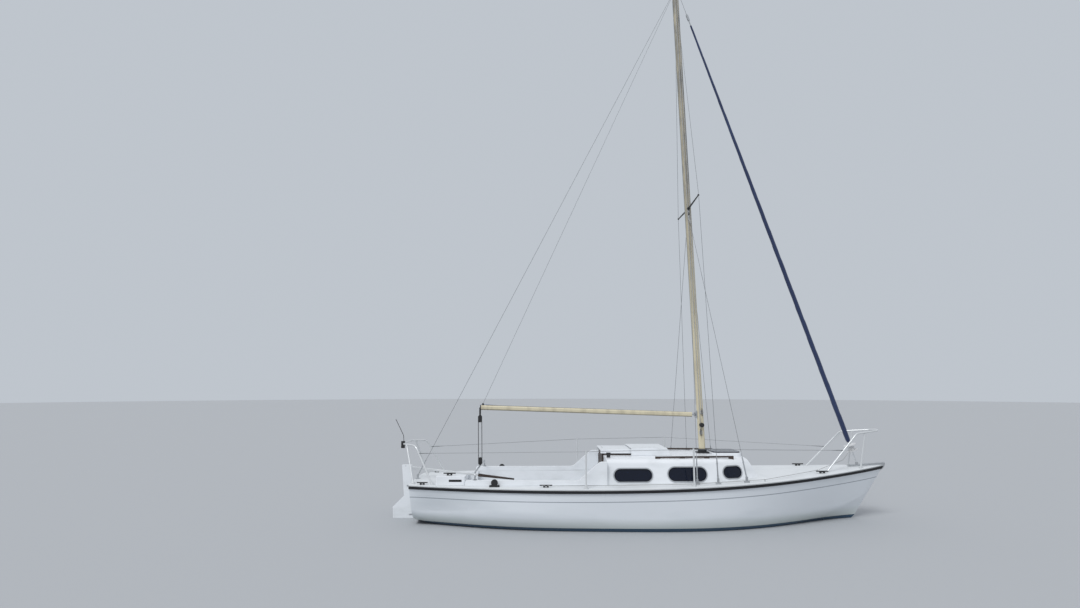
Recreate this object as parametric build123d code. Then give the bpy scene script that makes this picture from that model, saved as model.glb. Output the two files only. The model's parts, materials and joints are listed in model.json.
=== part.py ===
from build123d import *
import math
import os

# A small cruising sloop, seven metres long, with a fin keel and a rudder hung on its transom.
# X runs forward to the bow, Y to port and Z up. The origin is on the waterline, amidships.
# All sizes are in millimetres.

# Cuts and feet run past the deck between these heights, and out beyond the sides
below_deck = 500
under_roof = 860
above_deck = 1200
beyond_side = 1500

# Sheer line in side view: straight aft, then one tangent arc up to the bow
transom_x = -3450
bow_x = 3507
sheer_aft = 566
sheer_low = 568
sheer_low_x = -1500
sheer_bow = 768
deck_camber = 0.032
hull_wall = 25
deck_lip = 32

# Hull frames. Each frame lies in a plane across the boat, through a sheer point and a keel point.
# Columns: sheer x, half beam, keel x, keel z, bilge share of beam, bilge share of depth, bilge radius
hull_frames = [
    (transom_x, 700, transom_x + 60, -30, 0.86, 0.22, 230),
    (-2300, 1020, -2300, -180, 0.88, 0.24, 420),
    (-1000, 1155, -1000, -300, 0.89, 0.25, 480),
    (300, 1165, 300, -345, 0.88, 0.26, 480),
    (1500, 970, 1450, -300, 0.80, 0.30, 420),
    (2510, 570, 2390, -200, 0.62, 0.36, 300),
    (3065, 290, 2810, -95, 0.60, 0.42, 200),
    (bow_x, 24, 3045, 45, 0.80, 0.50, 10),
]
# Rubbing strake
strake_depth = 36
strake_thick = 24
strake_drop = 14

# Fin keel
keel_top_chord = 1150
keel_tip_chord = 820
keel_top_x = 60
keel_tip_x = -60
keel_thick = 110
draught = 1120

# Coachroof
roof_wall = 22
# Columns: foot x, top x, foot half width, shoulder half width, shoulder z, crown z
roof_frames = [
    (-697, -697, 862, 790, 923, 943),
    (405, 405, 842, 762, 922, 943),
    (1256, 1138, 720, 610, 908, 933),
    (1573, 1354, 540, 440, 893, 923),
]
roof_shoulder = 75
roof_foot_z = 500
# Cabin windows. Columns: aft end x, forward end x, centre z, height
windows = [
    (-596, -73, 714, 168),
    (151, 678, 729, 182),
    (924, 1200, 746, 155),
]
frame_band = 16
frame_proud = 5
pane_inset = 4
pane_thick = 6
pane_gap = 0.3

# Companionway, its sliding hatch and the hood that the hatch slides under
companion_half = 270
companion_sill = 440
roof_opening_front = -290
runner_half = 300
runner_width = 18
runner_top = 1000
hatch_aft = -742
hatch_front = -262
hatch_half = 332
hatch_plate = 22
hatch_skirt = 14
hatch_skirt_z = 964
hatch_gap = 0.3
hood_aft = -300
hood_front = 330
hood_nose = 110
hood_half = 365
hood_wall = 14
hood_clearance = 8
board_thick = 18
board_count = 3
board_top = 978
board_gap = 2
guide_depth = 24
guide_width = 20
guide_lip = 15
guide_top = 905
sill_drop = 20

# Hinges. Each has one knuckle that moves between two that stand still
hinge_radius = 6
hinge_half = 20
hinge_knuckle = 16
hinge_reach = 8

# Hatch forward of the mast
fore_hatch_x = 1122
fore_hatch_long = 370
fore_hatch_wide = 460
fore_hatch_corner = 45
fore_hinge_y = 150
fore_coaming_height = 32
fore_coaming_band = 30
fore_lid_thick = 14
fore_lid_overlap = 12

# Grab rails on the roof edges
grab_aft = -5
grab_front = 1118
grab_half = 672
grab_half_fwd = 585
grab_thick = 22
grab_height = 46
grab_bar = 22
grab_foot = 70
grab_feet = 4
grab_z = 910

# Cockpit
cockpit_aft = -2620
cockpit_half = 812
cockpit_half_aft = 770
cockpit_wall = 20
seat_z = 400
well_half = 270
well_aft = -2450
well_front = -850
sole_z = 150
# Narrower bay abaft the seats, which the tiller swings over
bay_aft = -2765
bay_half = 560
locker_x = -1620
locker_long = 640
locker_wide = 380
locker_rim = 22
locker_lid = 20
locker_hinge_x = 200

# Coamings beside the cockpit, with wings that sweep up to the coachroof
coaming_thick = 66
coaming_top = 651
coaming_aft = -2650
wing_top = 903
wing_crest_x = -790
wing_knee = (-935, 786)
wing_aft = -1085

# Raised locker on the starboard quarter
quarter_locker_aft = -3060
quarter_locker_inner = 585
quarter_locker_outer = 792
quarter_locker_top = 700
quarter_locker_corner = 28
quarter_cleat_x = -2880

# Cabin inside
berth_z = 120
berth_half = 330
cabin_sole_z = -215
moulding_wall = 16
berth_aft = -680
berth_front = 1500

# Mast, boom and spreaders
mast_foot_x = 814
mast_foot_z = 975
mast_head_x = 587
mast_head_z = 8248
mast_fore_aft = 97
mast_across = 72
step_half_long = 88
step_half_wide = 75
step_plate_rise = 16
step_cup_band = 15
step_cup_rise = 30
spreader_z = 4685
spreader_half = 715
spreader_lift = 25
spreader_root = 30
spreader_tip = 18
socket_long = 55
socket_radius = 24
socket_tip = 21
boom_z = 1510
boom_end_x = -2512
boom_end_z = 1614
boom_deep = 70
boom_wide = 50
boom_start_gap = 45
pin_behind_mast = 30
pin_radius = 7
pin_gap = 0.3
tongue_radius = 16
tongue_thick = 24
cheek_high = 20
end_cap_thick = 12
end_cap_band = 4
lift_eye_rise = 22
sheet_hang = 78
sheet_lug_half = 13

# Standing rigging
wire_radius = 2.5
lift_radius = 2
screw_long = 240
screw_radius = 9
plate_gap = 12
tang_gap = 3
# Columns: chainplate x, distance in from the sheer, height of the upper end
shrouds = [
    (506, 162, 4591),
    (790, 118, 8190),
    (1190, 95, 4552),
]
chainplate_rise = 70
chainplate_half = 16
chainplate_pad = 34
backstay_x = -3412
backstay_y = -180
backstay_rise = 46
stay_foot_x = 3122
stay_foot_z = 795
crane_reach = 38
crane_half = 14
crane_deep = 46
crane_thick = 12
cap_thick = 14
cap_band = 6

# Plate over the stem, with the lug of the forestay and the eye for a bow line
stem_plate_half = 26
stem_plate_aft = 130
stem_plate_fore = 25
stem_plate_rise = 34
stay_lug_half = 20
stem_eye_x = 3300
stem_eye_rise = 22
stem_eye_bore = 10

# Furled headsail and its drum, which turn about the forestay
drum_z = 975
drum_radius = 88
drum_height = 92
drum_disc = 8
sail_low_z = 1130
sail_high_z = 7735
sail_low_radius = 37
sail_mid_radius = 31
sail_high_radius = 15
foil_radius = 9
swivel_z = 7874
swivel_radius = 19
swivel_half = 45
foil_past_swivel = 20
drum_neck = 20
sail_neck = 24
link_radius = 8
turning_gap = 0.4

# Rails at the bow and the stern, and the stanchions between them
rail_radius = 12.5
pulpit_foot = (2490, 385)
pulpit_corner = (3020, 275, 1243)
pulpit_nose = (3463, 1284)
pulpit_leg_foot = (3080, 205)
pulpit_leg_top = (3176, 205, 1254)
pushpit_foot = (-3118, 665)
pushpit_knee = (-3400, 500, 1090)
pushpit_corner = (-3612, 315, 1100)
pushpit_leg_foot = (-3400, 590)
pushpit_leg_top = (-3550, 372, 1096)
rail_base = 30
rail_base_thick = 8
rail_sink = 20
stanchions = [-1003, 445]
stanchion_inset = 72
stanchion_height = 503
stanchion_radius = 12
stanchion_socket = 55
stanchion_base_rise = 22

# Rudder and tiller
rudder_axis_gap = 46
rudder_thick = 44
rudder_front_gap = 22
rudder_head_z = 770
rudder_tip_z = -960
rudder_chord = 370
rudder_head_chord = 165
tiller_low_x = -2005
tiller_low_z = 556
tiller_high_z = 742
tiller_joint = 0.73
tiller_wide = 27
tiller_thick = 31
tiller_corner = 5
handle_overlap = 90
handle_wide = 35
handle_thick = 42
handle_tip = 22
gudgeons = [440, 25]
gudgeon_height = 26
gudgeon_radius = 15
gudgeon_strap = 90
pintle_radius = 6
pintle_gap = 0.4
pintle_head = 13
pintle_head_thick = 20
pintle_arm = 120

# Sheet blocks
sheet_block_tall = 110
sheet_block_wide = 58
sheet_block_thick = 46
sheave_inset = 6
cheek_thick = 6

# Winches, cleats and turning blocks
roof_winch_x = -650
roof_winch_y = 560
roof_winch_top = 998
roof_winch_base = 37
roof_winch_waist = 25
mast_winch_z = 1356
mast_winch_radius = 33
mast_winch_long = 62
# Columns: x, distance in from the sheer, length
cleats = [
    (-1540, 130, 170),
    (-3262, 80, 150),
    (2410, 150, 170),
]
cleat_horn = 8
cleat_half_wide = 12
quarter_x = -2240
quarter_inset = 120
quarter_radius = 46
quarter_thick = 30

# Sheet horse above the tiller
horse_x = -2515
horse_top = 754
horse_radius = 11
horse_bend = 60

# Bent whip in a clamp on the stern rail
whip_y = -315
whip_clamp = (-3640, -3588, 1040, 1140)
whip = [(-3602, 1130), (-3610, 1220), (-3661, 1323), (-3728, 1454)]
whip_radius = 4


# Shape helpers
def block(x0, x1, y0, y1, z0, z1):
    """A box between two corners."""
    return Pos((x0 + x1) / 2, (y0 + y1) / 2, (z0 + z1) / 2) * Box(x1 - x0, y1 - y0, z1 - z0)


def rod(start, end, radius):
    """A round bar between two points."""
    a, b = Vector(*start), Vector(*end)
    lift = (Align.CENTER, Align.CENTER, Align.MIN)
    return Plane(origin=a, z_dir=b - a) * Cylinder(radius, (b - a).length, align=lift)


def cone(start, end, radius, end_radius):
    """A round bar that tapers between two points."""
    a, b = Vector(*start), Vector(*end)
    lift = (Align.CENTER, Align.CENTER, Align.MIN)
    return Plane(origin=a, z_dir=b - a) * Cone(radius, end_radius, (b - a).length, align=lift)


def bent_tube(points, bends, radius):
    """A round tube along straight runs joined by arcs."""
    path = FilletPolyline(*points, radius=bends)
    return sweep(Plane(origin=path @ 0, z_dir=path % 0) * Circle(radius), path=path)


def across(sketch, y0, y1):
    """A side view, drawn in X and Z, pushed across the boat from y0 to y1."""
    return extrude(Plane(origin=(0, y1, 0), x_dir=(1, 0, 0), z_dir=(0, -1, 0)) * sketch, amount=y1 - y0)


def along(sketch, x0, x1):
    """An end view, drawn in Y and Z, pushed along the boat from x0 to x1."""
    return extrude(Plane(origin=(x0, 0, 0), x_dir=(0, 1, 0), z_dir=(1, 0, 0)) * sketch, amount=x1 - x0)


def upward(sketch, z0, z1):
    """A plan view pushed up from z0 to z1."""
    return extrude(Plane.XY.offset(z0) * sketch, amount=z1 - z0)


def outline(*points):
    """A closed flat shape with straight sides."""
    return make_face(Polyline(*points, close=True))


def both_sides(shape):
    """A piece and its mirror image on the other side of the boat."""
    return group(shape, mirror(shape, Plane.XZ))


def group(*shapes):
    """Separate solids that share a node."""
    return Compound([solid for shape in shapes for solid in shape.solids()])


def hinge(place, base_drop):
    """The knuckle of a hinge that moves with its lid, and the two that stand still."""
    moving = Rot(0, 90, 0) * Cylinder(hinge_radius, 2 * hinge_half)
    moving += block(-hinge_half, hinge_half, 0, hinge_reach, -hinge_radius / 2, hinge_radius / 2)
    inner = hinge_half + pin_gap
    outer = inner + hinge_knuckle
    still = rod((inner, 0, 0), (outer, 0, 0), hinge_radius)
    still += block(inner, outer, -hinge_radius, hinge_radius, -base_drop, 0)
    return place * moving, place * group(still, mirror(still, Plane.YZ))


# Hull form
sheer_slope = (sheer_low - sheer_aft) / (sheer_low_x - transom_x)
sheer_run = math.hypot(1, sheer_slope)
sheer_dir = Vector(1 / sheer_run, 0, sheer_slope / sheer_run)
sheer_up = Vector(-sheer_dir.Z, 0, sheer_dir.X)
sheer_start = Vector(sheer_low_x, 0, sheer_low)
sheer_chord = Vector(bow_x, 0, sheer_bow) - sheer_start
sheer_radius = sheer_chord.length ** 2 / (2 * sheer_chord.dot(sheer_up))
sheer_centre = sheer_start + sheer_up * sheer_radius


def sheer_z(x):
    """Height of the sheer line."""
    if x < sheer_low_x:
        return sheer_low + sheer_slope * (x - sheer_low_x)
    return sheer_centre.Z - math.sqrt(sheer_radius ** 2 - (x - sheer_centre.X) ** 2)


def half_beam(x):
    """Half the beam at the sheer, read between the hull frames."""
    for aft, fore in zip(hull_frames, hull_frames[1:]):
        if x <= fore[0]:
            break
    share = (x - aft[0]) / (fore[0] - aft[0])
    return aft[1] + share * (fore[1] - aft[1])


def deck_z(x, y):
    """Height of the crowned deck at a point."""
    half = half_beam(x)
    return sheer_z(x) + deck_camber * half * (1 - (y / half) ** 2)


def hull_section(frame, inset):
    """One hull frame with a crowned top, moved inward by an inset."""
    sheer_x, beam, keel_x, keel_z, bilge_y, bilge_z, bilge_radius = frame
    upright = Vector(sheer_x - keel_x, 0, sheer_z(sheer_x) - keel_z)
    half = beam - inset
    low, high = inset, upright.length - inset
    bilge = (half * bilge_y, low + (high - low) * bilge_z)
    side = FilletPolyline((0, low), bilge, (half, high), radius=bilge_radius)
    lid = ThreePointArc((half, high), (0, high + deck_camber * half), (-half, high))
    face = make_face([*side.edges(), lid.edge(), *mirror(side, Plane.YZ).edges()])
    axis = Vector(0, 1, 0)
    return Plane(origin=(keel_x, 0, keel_z), x_dir=axis, z_dir=axis.cross(upright)) * face


def hull_form(inset=0):
    """The closed hull with its crowned deck, as one solid."""
    frames = list(hull_frames)
    if inset > 0:
        first, last = frames[0], frames[-1]
        frames[0] = (first[0] + inset, first[1], first[2] + inset, *first[3:])
        frames[-1] = (last[0] - 3 * inset, last[1] + 2 * inset, last[2] - 2 * inset, *last[3:])
    return loft([hull_section(frame, inset) for frame in frames])


def above_sheer(drop, x0=transom_x - 300, x1=bow_x + 300):
    """Everything above a line that runs a little below the sheer."""
    aft = (x0, sheer_z(x0) - drop)
    low = (sheer_low_x, sheer_low - drop)
    middle_x = (sheer_low_x + x1) / 2
    middle = (middle_x, sheer_z(middle_x) - drop)
    fore = (x1, sheer_z(x1) - drop)
    top = sheer_bow + above_deck
    edges = [
        Line(aft, low),
        ThreePointArc(low, middle, fore),
        Polyline(fore, (x1, top), (x0, top), aft),
    ]
    face = make_face([edge for part in edges for edge in part.edges()])
    return across(face, -beyond_side, beyond_side)


# Coachroof form
face_x = roof_frames[0][0]
roof_aft_crown = roof_frames[0][5]


def roof_section(frame, inset):
    """One frame of the coachroof, moved inward by an inset."""
    foot_x, top_x, foot_half, shoulder_half, shoulder_z, crown_z = frame
    upright = Vector(top_x - foot_x, 0, shoulder_z - roof_foot_z)
    high = upright.length - inset
    foot, shoulder = foot_half - inset, shoulder_half - inset
    crown = high + (crown_z - shoulder_z)
    radius = roof_shoulder - inset
    roof = ThreePointArc((shoulder, high), (0, crown), (-shoulder, high))
    side = Line((foot, 0), (shoulder, high))
    other = Line((-shoulder, high), (-foot, 0))
    base = Line((-foot, 0), (foot, 0))
    face = make_face([side.edge(), roof.edge(), other.edge(), base.edge()])
    corners = face.vertices().filter_by(lambda v: v.Y > high / 2)
    face = fillet(corners, radius)
    axis = Vector(0, 1, 0)
    return Plane(origin=(foot_x, 0, roof_foot_z), x_dir=axis, z_dir=axis.cross(upright)) * face


def roof_form(inset=0):
    """The coachroof as a closed solid that reaches down below the deck."""
    frames = list(roof_frames)
    first, last = frames[0], frames[-1]
    frames[0] = (first[0] + inset, first[1] + inset, *first[2:])
    frames[-1] = (last[0] - inset, last[1] - inset, *last[2:])
    return loft([roof_section(frame, inset) for frame in frames])


def window_shape(row, grow):
    """One window opening, right through the coachroof, grown all round."""
    x0, x1, centre_z, height = row
    slot = Pos((x0 + x1) / 2, centre_z) * SlotOverall(x1 - x0 + 2 * grow, height + 2 * grow)
    return across(slot, -beyond_side, beyond_side)


def one_side(shape, sign):
    """What lies to port of the middle line, or with a minus sign to starboard."""
    side = block(transom_x, bow_x, 0, beyond_side, 0, above_deck)
    return group(shape & (side if sign > 0 else mirror(side, Plane.XZ)))


# Cockpit form
def cockpit_side(x):
    """Half the width of the cockpit, which narrows towards the stern."""
    share = (face_x - x) / (face_x - cockpit_aft)
    return cockpit_half + share * (cockpit_half_aft - cockpit_half)


def cockpit_plan(grow, aft, front):
    """The plan of the cockpit between two stations, widened each side."""
    aft_y = cockpit_side(aft) + grow
    front_y = cockpit_side(front) + grow
    return outline((aft, aft_y), (front, front_y), (front, -front_y), (aft, -aft_y))


hull_outer = hull_form()
hull_inner = hull_form(hull_wall)
roof_outer = roof_form()
roof_inner = roof_form(roof_wall)
lid_region = above_sheer(deck_lip)
nodes = {}

# Hull and deck, split a little below the sheer
shell = hull_outer - hull_inner
nodes["hull"] = shell - lid_region
opening_floor = seat_z - 100
cockpit_hole = upward(cockpit_plan(cockpit_wall, cockpit_aft, face_x + roof_wall), opening_floor, above_deck)
cockpit_hole += block(bay_aft, cockpit_aft, -bay_half - cockpit_wall, bay_half + cockpit_wall,
                      opening_floor, above_deck)
nodes["deck"] = (shell & lid_region) - cockpit_hole - roof_inner

# Rubbing strake round the sheer, in two halves that meet at the stem and stop at the transom
band = above_sheer(strake_drop + strake_depth) - above_sheer(strake_drop)
strake_ring = (hull_form(-strake_thick) & band) - hull_outer
strake_ends = block(transom_x - 200, transom_x + 4, -beyond_side, beyond_side, 0, above_deck)
nodes["rubbing_strake"] = group(strake_ring - strake_ends)


# Fin keel
def keel_section(chord, centre_x, z):
    half = keel_thick / 2 * chord / keel_top_chord
    nose, tail = centre_x + chord / 2, centre_x - chord / 2
    arcs = [
        ThreePointArc((nose, 0), (centre_x + chord / 6, half), (tail, 0)),
        ThreePointArc((tail, 0), (centre_x + chord / 6, -half), (nose, 0)),
    ]
    return Plane.XY.offset(z) * make_face([arc.edge() for arc in arcs])


keel = loft([
    keel_section(keel_top_chord, keel_top_x, -200),
    keel_section(keel_tip_chord, keel_tip_x, -draught),
])
nodes["keel"] = keel - hull_outer


# Coachroof shell with its windows, companionway and hatch openings cut through
companion_top = block(face_x + roof_wall, roof_opening_front, -companion_half, companion_half,
                      under_roof, above_deck)
doorway = block(face_x - 100, face_x + 2 * roof_wall, -companion_half, companion_half,
                companion_sill, above_deck)
fore_opening = RectangleRounded(fore_hatch_long, fore_hatch_wide, fore_hatch_corner)
fore_cut = Pos(fore_hatch_x, 0) * upward(fore_opening, under_roof, above_deck)
coachroof = roof_outer - roof_inner - hull_outer
coachroof = coachroof - companion_top - doorway - fore_cut
for row in windows:
    coachroof = coachroof - window_shape(row, 0)
nodes["coachroof"] = coachroof

# Window frames lie on the outside of the wall and the panes sit in the openings
frame_skin = roof_form(-frame_proud) - roof_outer
pane_skin = roof_form(pane_inset) - roof_form(pane_inset + pane_thick)
frame_parts = []
pane_parts = []
for row in windows:
    ring = window_shape(row, frame_band) - window_shape(row, -frame_band / 4)
    frame_parts.append(frame_skin & ring)
    pane_parts.append(pane_skin & window_shape(row, -pane_gap))
for side, sign in (("port", 1), ("starboard", -1)):
    nodes["window_frames_" + side] = group(*[one_side(part, sign) for part in frame_parts])
    nodes["window_panes_" + side] = group(*[one_side(part, sign) for part in pane_parts])

# Hatch runners on the roof, the sliding hatch, and the hood over its forward end
runner_front = hood_front - hood_nose - hood_wall - 5
runner_box = block(face_x, runner_front, runner_half - runner_width / 2, runner_half + runner_width / 2,
                   under_roof, runner_top)
nodes["hatch_runners"] = both_sides(runner_box - roof_outer)

plate_z = runner_top + hatch_gap
hatch_top = plate_z + hatch_plate
hatch = block(hatch_aft, hatch_front, -hatch_half, hatch_half, plate_z, hatch_top)
skirt = block(hatch_aft, hatch_front, hatch_half - hatch_skirt, hatch_half, hatch_skirt_z, plate_z)
nodes["sliding_hatch"] = hatch + skirt + mirror(skirt, Plane.XZ)

hood_inner_z = hatch_top + hood_clearance
hood_outer_z = hood_inner_z + hood_wall
hood_side = outline((hood_aft, under_roof), (hood_front, under_roof),
                    (hood_front - hood_nose, hood_outer_z), (hood_aft, hood_outer_z))
hood_room = outline((hood_aft - 50, 0), (hood_front - hood_wall, 0), (hood_front - hood_wall, under_roof),
                    (hood_front - hood_nose - hood_wall, hood_inner_z), (hood_aft - 50, hood_inner_z))
hood = across(hood_side, -hood_half, hood_half)
hood -= across(hood_room, -hood_half + hood_wall, hood_half - hood_wall)
nodes["sea_hood"] = hood - roof_outer

# Washboards in their guides on the aft face of the coachroof
board_half = companion_half + guide_width - pin_gap
board_high = (board_top - companion_sill - (board_count - 1) * board_gap) / board_count
boards = []
for step in range(board_count):
    base = companion_sill + step * (board_high + board_gap)
    boards.append(block(face_x - board_thick - pin_gap, face_x - pin_gap, -board_half, board_half,
                        base, base + board_high))
nodes["washboards"] = group(*boards)
guide_y = companion_half + guide_width
sill_low = companion_sill - sill_drop
guide = block(face_x - guide_depth, face_x, guide_y, guide_y + guide_width, sill_low, guide_top)
guide += block(face_x - guide_depth, face_x - board_thick - 2 * pin_gap, guide_y - guide_lip, guide_y,
               sill_low, guide_top)
sill = block(face_x - guide_depth, face_x, -guide_y - guide_width, guide_y + guide_width,
             sill_low, companion_sill - pin_gap)
nodes["washboard_guides"] = group(guide + mirror(guide, Plane.XZ) + sill)

# Hatch forward of the mast: a coaming round the opening and a lid hinged at its forward edge
coaming_outer = RectangleRounded(fore_hatch_long + 2 * fore_coaming_band,
                                 fore_hatch_wide + 2 * fore_coaming_band,
                                 fore_hatch_corner + fore_coaming_band)
fore_coaming_top = roof_frames[2][5] + fore_coaming_height
fore_coaming = Pos(fore_hatch_x, 0) * upward(coaming_outer - fore_opening, under_roof, fore_coaming_top)
fore_coaming = fore_coaming - roof_outer
lid_shape = RectangleRounded(fore_hatch_long + 2 * fore_lid_overlap,
                             fore_hatch_wide + 2 * fore_lid_overlap,
                             fore_hatch_corner + fore_lid_overlap)
lid_z = fore_coaming_top + pin_gap
fore_lid = Pos(fore_hatch_x, 0) * upward(lid_shape, lid_z, lid_z + fore_lid_thick)
fore_hinge = Vector(fore_hatch_x + fore_hatch_long / 2 + fore_lid_overlap + hinge_reach, 0,
                    lid_z + fore_lid_thick / 2)
for sign in (-1, 1):
    place = Pos(fore_hinge.X, sign * fore_hinge_y, fore_hinge.Z) * Rot(0, 0, 90)
    moving, still = hinge(place, fore_hinge.Z - fore_coaming_top)
    fore_lid += moving
    fore_coaming += still
nodes["fore_hatch_coaming"] = fore_coaming
nodes["fore_hatch"] = fore_lid


# Wooden grab rails: a bar on short feet along each roof edge
def grab_rail():
    long = grab_front - grab_aft
    pitch = (long - grab_foot) / (grab_feet - 1)
    bar_low = grab_height - grab_bar
    rail = block(0, long, -grab_thick / 2, grab_thick / 2, bar_low, grab_height)
    for step in range(grab_feet):
        rail += block(step * pitch, step * pitch + grab_foot, -grab_thick / 2, grab_thick / 2,
                      under_roof - grab_z, bar_low)
    turn = math.degrees(math.atan2(grab_half - grab_half_fwd, long))
    return Pos(grab_aft, grab_half, grab_z) * Rot(0, 0, -turn) * rail - roof_outer


nodes["grab_rails"] = both_sides(grab_rail())

# Cockpit moulding: seats beside a footwell and a bay abaft them, hung in the opening of the deck
tub = upward(cockpit_plan(cockpit_wall, cockpit_aft, face_x + roof_wall), seat_z - cockpit_wall, above_deck)
tub += block(bay_aft, cockpit_aft + cockpit_wall, -bay_half - cockpit_wall, bay_half + cockpit_wall,
             seat_z - cockpit_wall, above_deck)
tub += block(well_aft - cockpit_wall, well_front + cockpit_wall, -well_half - cockpit_wall,
             well_half + cockpit_wall, sole_z - cockpit_wall, seat_z)
tub -= upward(cockpit_plan(0, cockpit_aft + cockpit_wall, face_x), seat_z, above_deck)
tub -= block(bay_aft + cockpit_wall, cockpit_aft + 2 * cockpit_wall, -bay_half, bay_half, seat_z, above_deck)
tub -= doorway
tub -= block(well_aft, well_front, -well_half, well_half, sole_z, seat_z + 1)
locker_y = (cockpit_half + well_half) / 2
for sign in (-1, 1):
    tub -= Pos(locker_x, sign * locker_y, seat_z) * Box(locker_long - 2 * locker_rim,
                                                       locker_wide - 2 * locker_rim, 100)
cockpit = tub & hull_outer
lid_base = seat_z + pin_gap
locker_hinge = Vector(locker_x, locker_y + locker_wide / 2 + hinge_reach,
                      lid_base + locker_lid - hinge_radius)
for sign, name, turn in ((1, "locker_lid_port", 180), (-1, "locker_lid_starboard", 0)):
    lid = Pos(locker_x, sign * locker_y, lid_base + locker_lid / 2)
    lid = lid * Box(locker_long, locker_wide, locker_lid)
    for step in (-1, 1):
        place = Pos(locker_x + step * locker_hinge_x, sign * locker_hinge.Y, locker_hinge.Z)
        moving, still = hinge(place * Rot(0, 0, turn), locker_hinge.Z - seat_z)
        lid += moving
        cockpit += still
    nodes[name] = lid
nodes["cockpit"] = cockpit

# Coamings: a low side wall each side whose forward end sweeps up to the coachroof
wing_line = FilletPolyline((face_x, wing_top), (wing_crest_x, wing_top), wing_knee, (wing_aft, coaming_top),
                           (coaming_aft, coaming_top), (coaming_aft, below_deck), radius=[90, 900, 130, 30])
wing_close = Polyline((coaming_aft, below_deck), (face_x, below_deck), (face_x, wing_top))
wing_face = make_face([*wing_line.edges(), *wing_close.edges()])
coaming_strips = cockpit_plan(coaming_thick, coaming_aft, face_x)
coaming_strips -= cockpit_plan(0, coaming_aft - 9, face_x + 9)
coaming = across(wing_face, -beyond_side, beyond_side) & upward(coaming_strips, below_deck, above_deck)
nodes["cockpit_coamings"] = group(coaming - hull_outer - roof_outer)

# Raised locker on the starboard quarter, against the end of the coaming
quarter_long = coaming_aft - quarter_locker_aft
quarter_wide = quarter_locker_outer - quarter_locker_inner
quarter_mid_y = -(quarter_locker_outer + quarter_locker_inner) / 2
quarter_plan = Pos(coaming_aft - quarter_long / 2, quarter_mid_y) * RectangleRounded(
    quarter_long, quarter_wide, quarter_locker_corner)
quarter_locker = upward(quarter_plan, below_deck, quarter_locker_top) - hull_outer
nodes["quarter_locker"] = quarter_locker

# Cabin inside: berths each side of a sole, one moulding trimmed to the hull
berth_end = beyond_side
under = berth_half + moulding_wall
moulding = outline(
    (-berth_end, berth_z), (-berth_half, berth_z), (-berth_half, cabin_sole_z),
    (berth_half, cabin_sole_z), (berth_half, berth_z), (berth_end, berth_z),
    (berth_end, berth_z - moulding_wall), (under, berth_z - moulding_wall),
    (under, cabin_sole_z - moulding_wall), (-under, cabin_sole_z - moulding_wall),
    (-under, berth_z - moulding_wall), (-berth_end, berth_z - moulding_wall),
)
nodes["cabin_moulding"] = along(moulding, berth_aft, berth_front) & hull_inner

# Mast on its step, with the lean of its axis used by everything that it carries
mast_foot = Vector(mast_foot_x, 0, mast_foot_z)
mast_head = Vector(mast_head_x, 0, mast_head_z)
mast_line = (mast_head - mast_foot).normalized()


def mast_at(z, ahead=0, y=0):
    """A point beside the mast axis at a height, some way ahead of it or to port."""
    share = (z - mast_foot_z) / (mast_head_z - mast_foot_z)
    return Vector(mast_foot_x + share * (mast_head_x - mast_foot_x) + ahead, y, z)


mast_plane = Plane(origin=mast_foot, x_dir=Vector(0, 1, 0).cross(mast_line), z_dir=mast_line)
mast_oval = RectangleRounded(mast_fore_aft, mast_across, mast_across / 2 - 0.5)
mast = extrude(mast_plane * mast_oval, amount=(mast_head - mast_foot).length)
nodes["mast"] = mast

step_top = roof_aft_crown + step_plate_rise
step_plate = block(mast_foot_x - step_half_long, mast_foot_x + step_half_long,
                   -step_half_wide, step_half_wide, under_roof, step_top)
step_cup = Pos(mast_foot_x, 0) * upward(
    RectangleRounded(mast_fore_aft + 2 * step_cup_band, mast_across + 2 * step_cup_band, mast_across / 2),
    step_top, mast_foot_z + step_cup_rise)
step_room = extrude(mast_plane * mast_oval, amount=2 * step_half_long)
nodes["mast_step"] = step_plate + step_cup - roof_outer - step_room

# Masthead: a cap with a crane ahead for the forestay and one aft for the backstay
mast_half = mast_fore_aft / 2
crane_fore_x = mast_head_x + mast_half + crane_reach
crane_aft_x = mast_head_x - mast_half - crane_reach
crane_low = mast_head_z - crane_deep
crane_high = mast_head_z + cap_thick
crane_root = mast_head_z - cap_thick
crane_side = outline(
    (crane_aft_x - crane_half, crane_low), (crane_aft_x - crane_half, crane_high),
    (crane_fore_x + crane_half, crane_high), (crane_fore_x + crane_half, crane_low),
    (crane_fore_x - crane_half, crane_low), (mast_head_x + mast_half + cap_band, crane_root),
    (mast_head_x - mast_half - cap_band, crane_root), (crane_aft_x + crane_half, crane_low),
)
crane = across(crane_side, -crane_thick / 2, crane_thick / 2)
cap_oval = RectangleRounded(mast_fore_aft + 2 * cap_band, mast_across + 2 * cap_band, mast_across / 2)
cap = extrude(mast_plane.offset((mast_head - mast_foot).length) * cap_oval, amount=cap_thick)
nodes["masthead"] = cap + crane - mast

# Spreaders, one each side, with a fitting at the mast and a cap at the tip
mast_side = mast_across / 2
spreader_base = mast_at(spreader_z, 0, mast_side)
spreader_end = mast_at(spreader_z + spreader_lift, 0, spreader_half)
tip_ball = Pos(*spreader_end) * Sphere(spreader_tip * 0.8)
spreader = cone(spreader_base, spreader_end, spreader_root / 2, spreader_tip / 2) + tip_ball
spreader_way = (spreader_end - spreader_base).normalized()
socket = cone(spreader_base - spreader_way * mast_side, spreader_base + spreader_way * socket_long,
              socket_radius, socket_tip)
nodes["spreaders"] = both_sides(spreader - socket)
nodes["spreader_sockets"] = both_sides(socket - mast)

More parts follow.
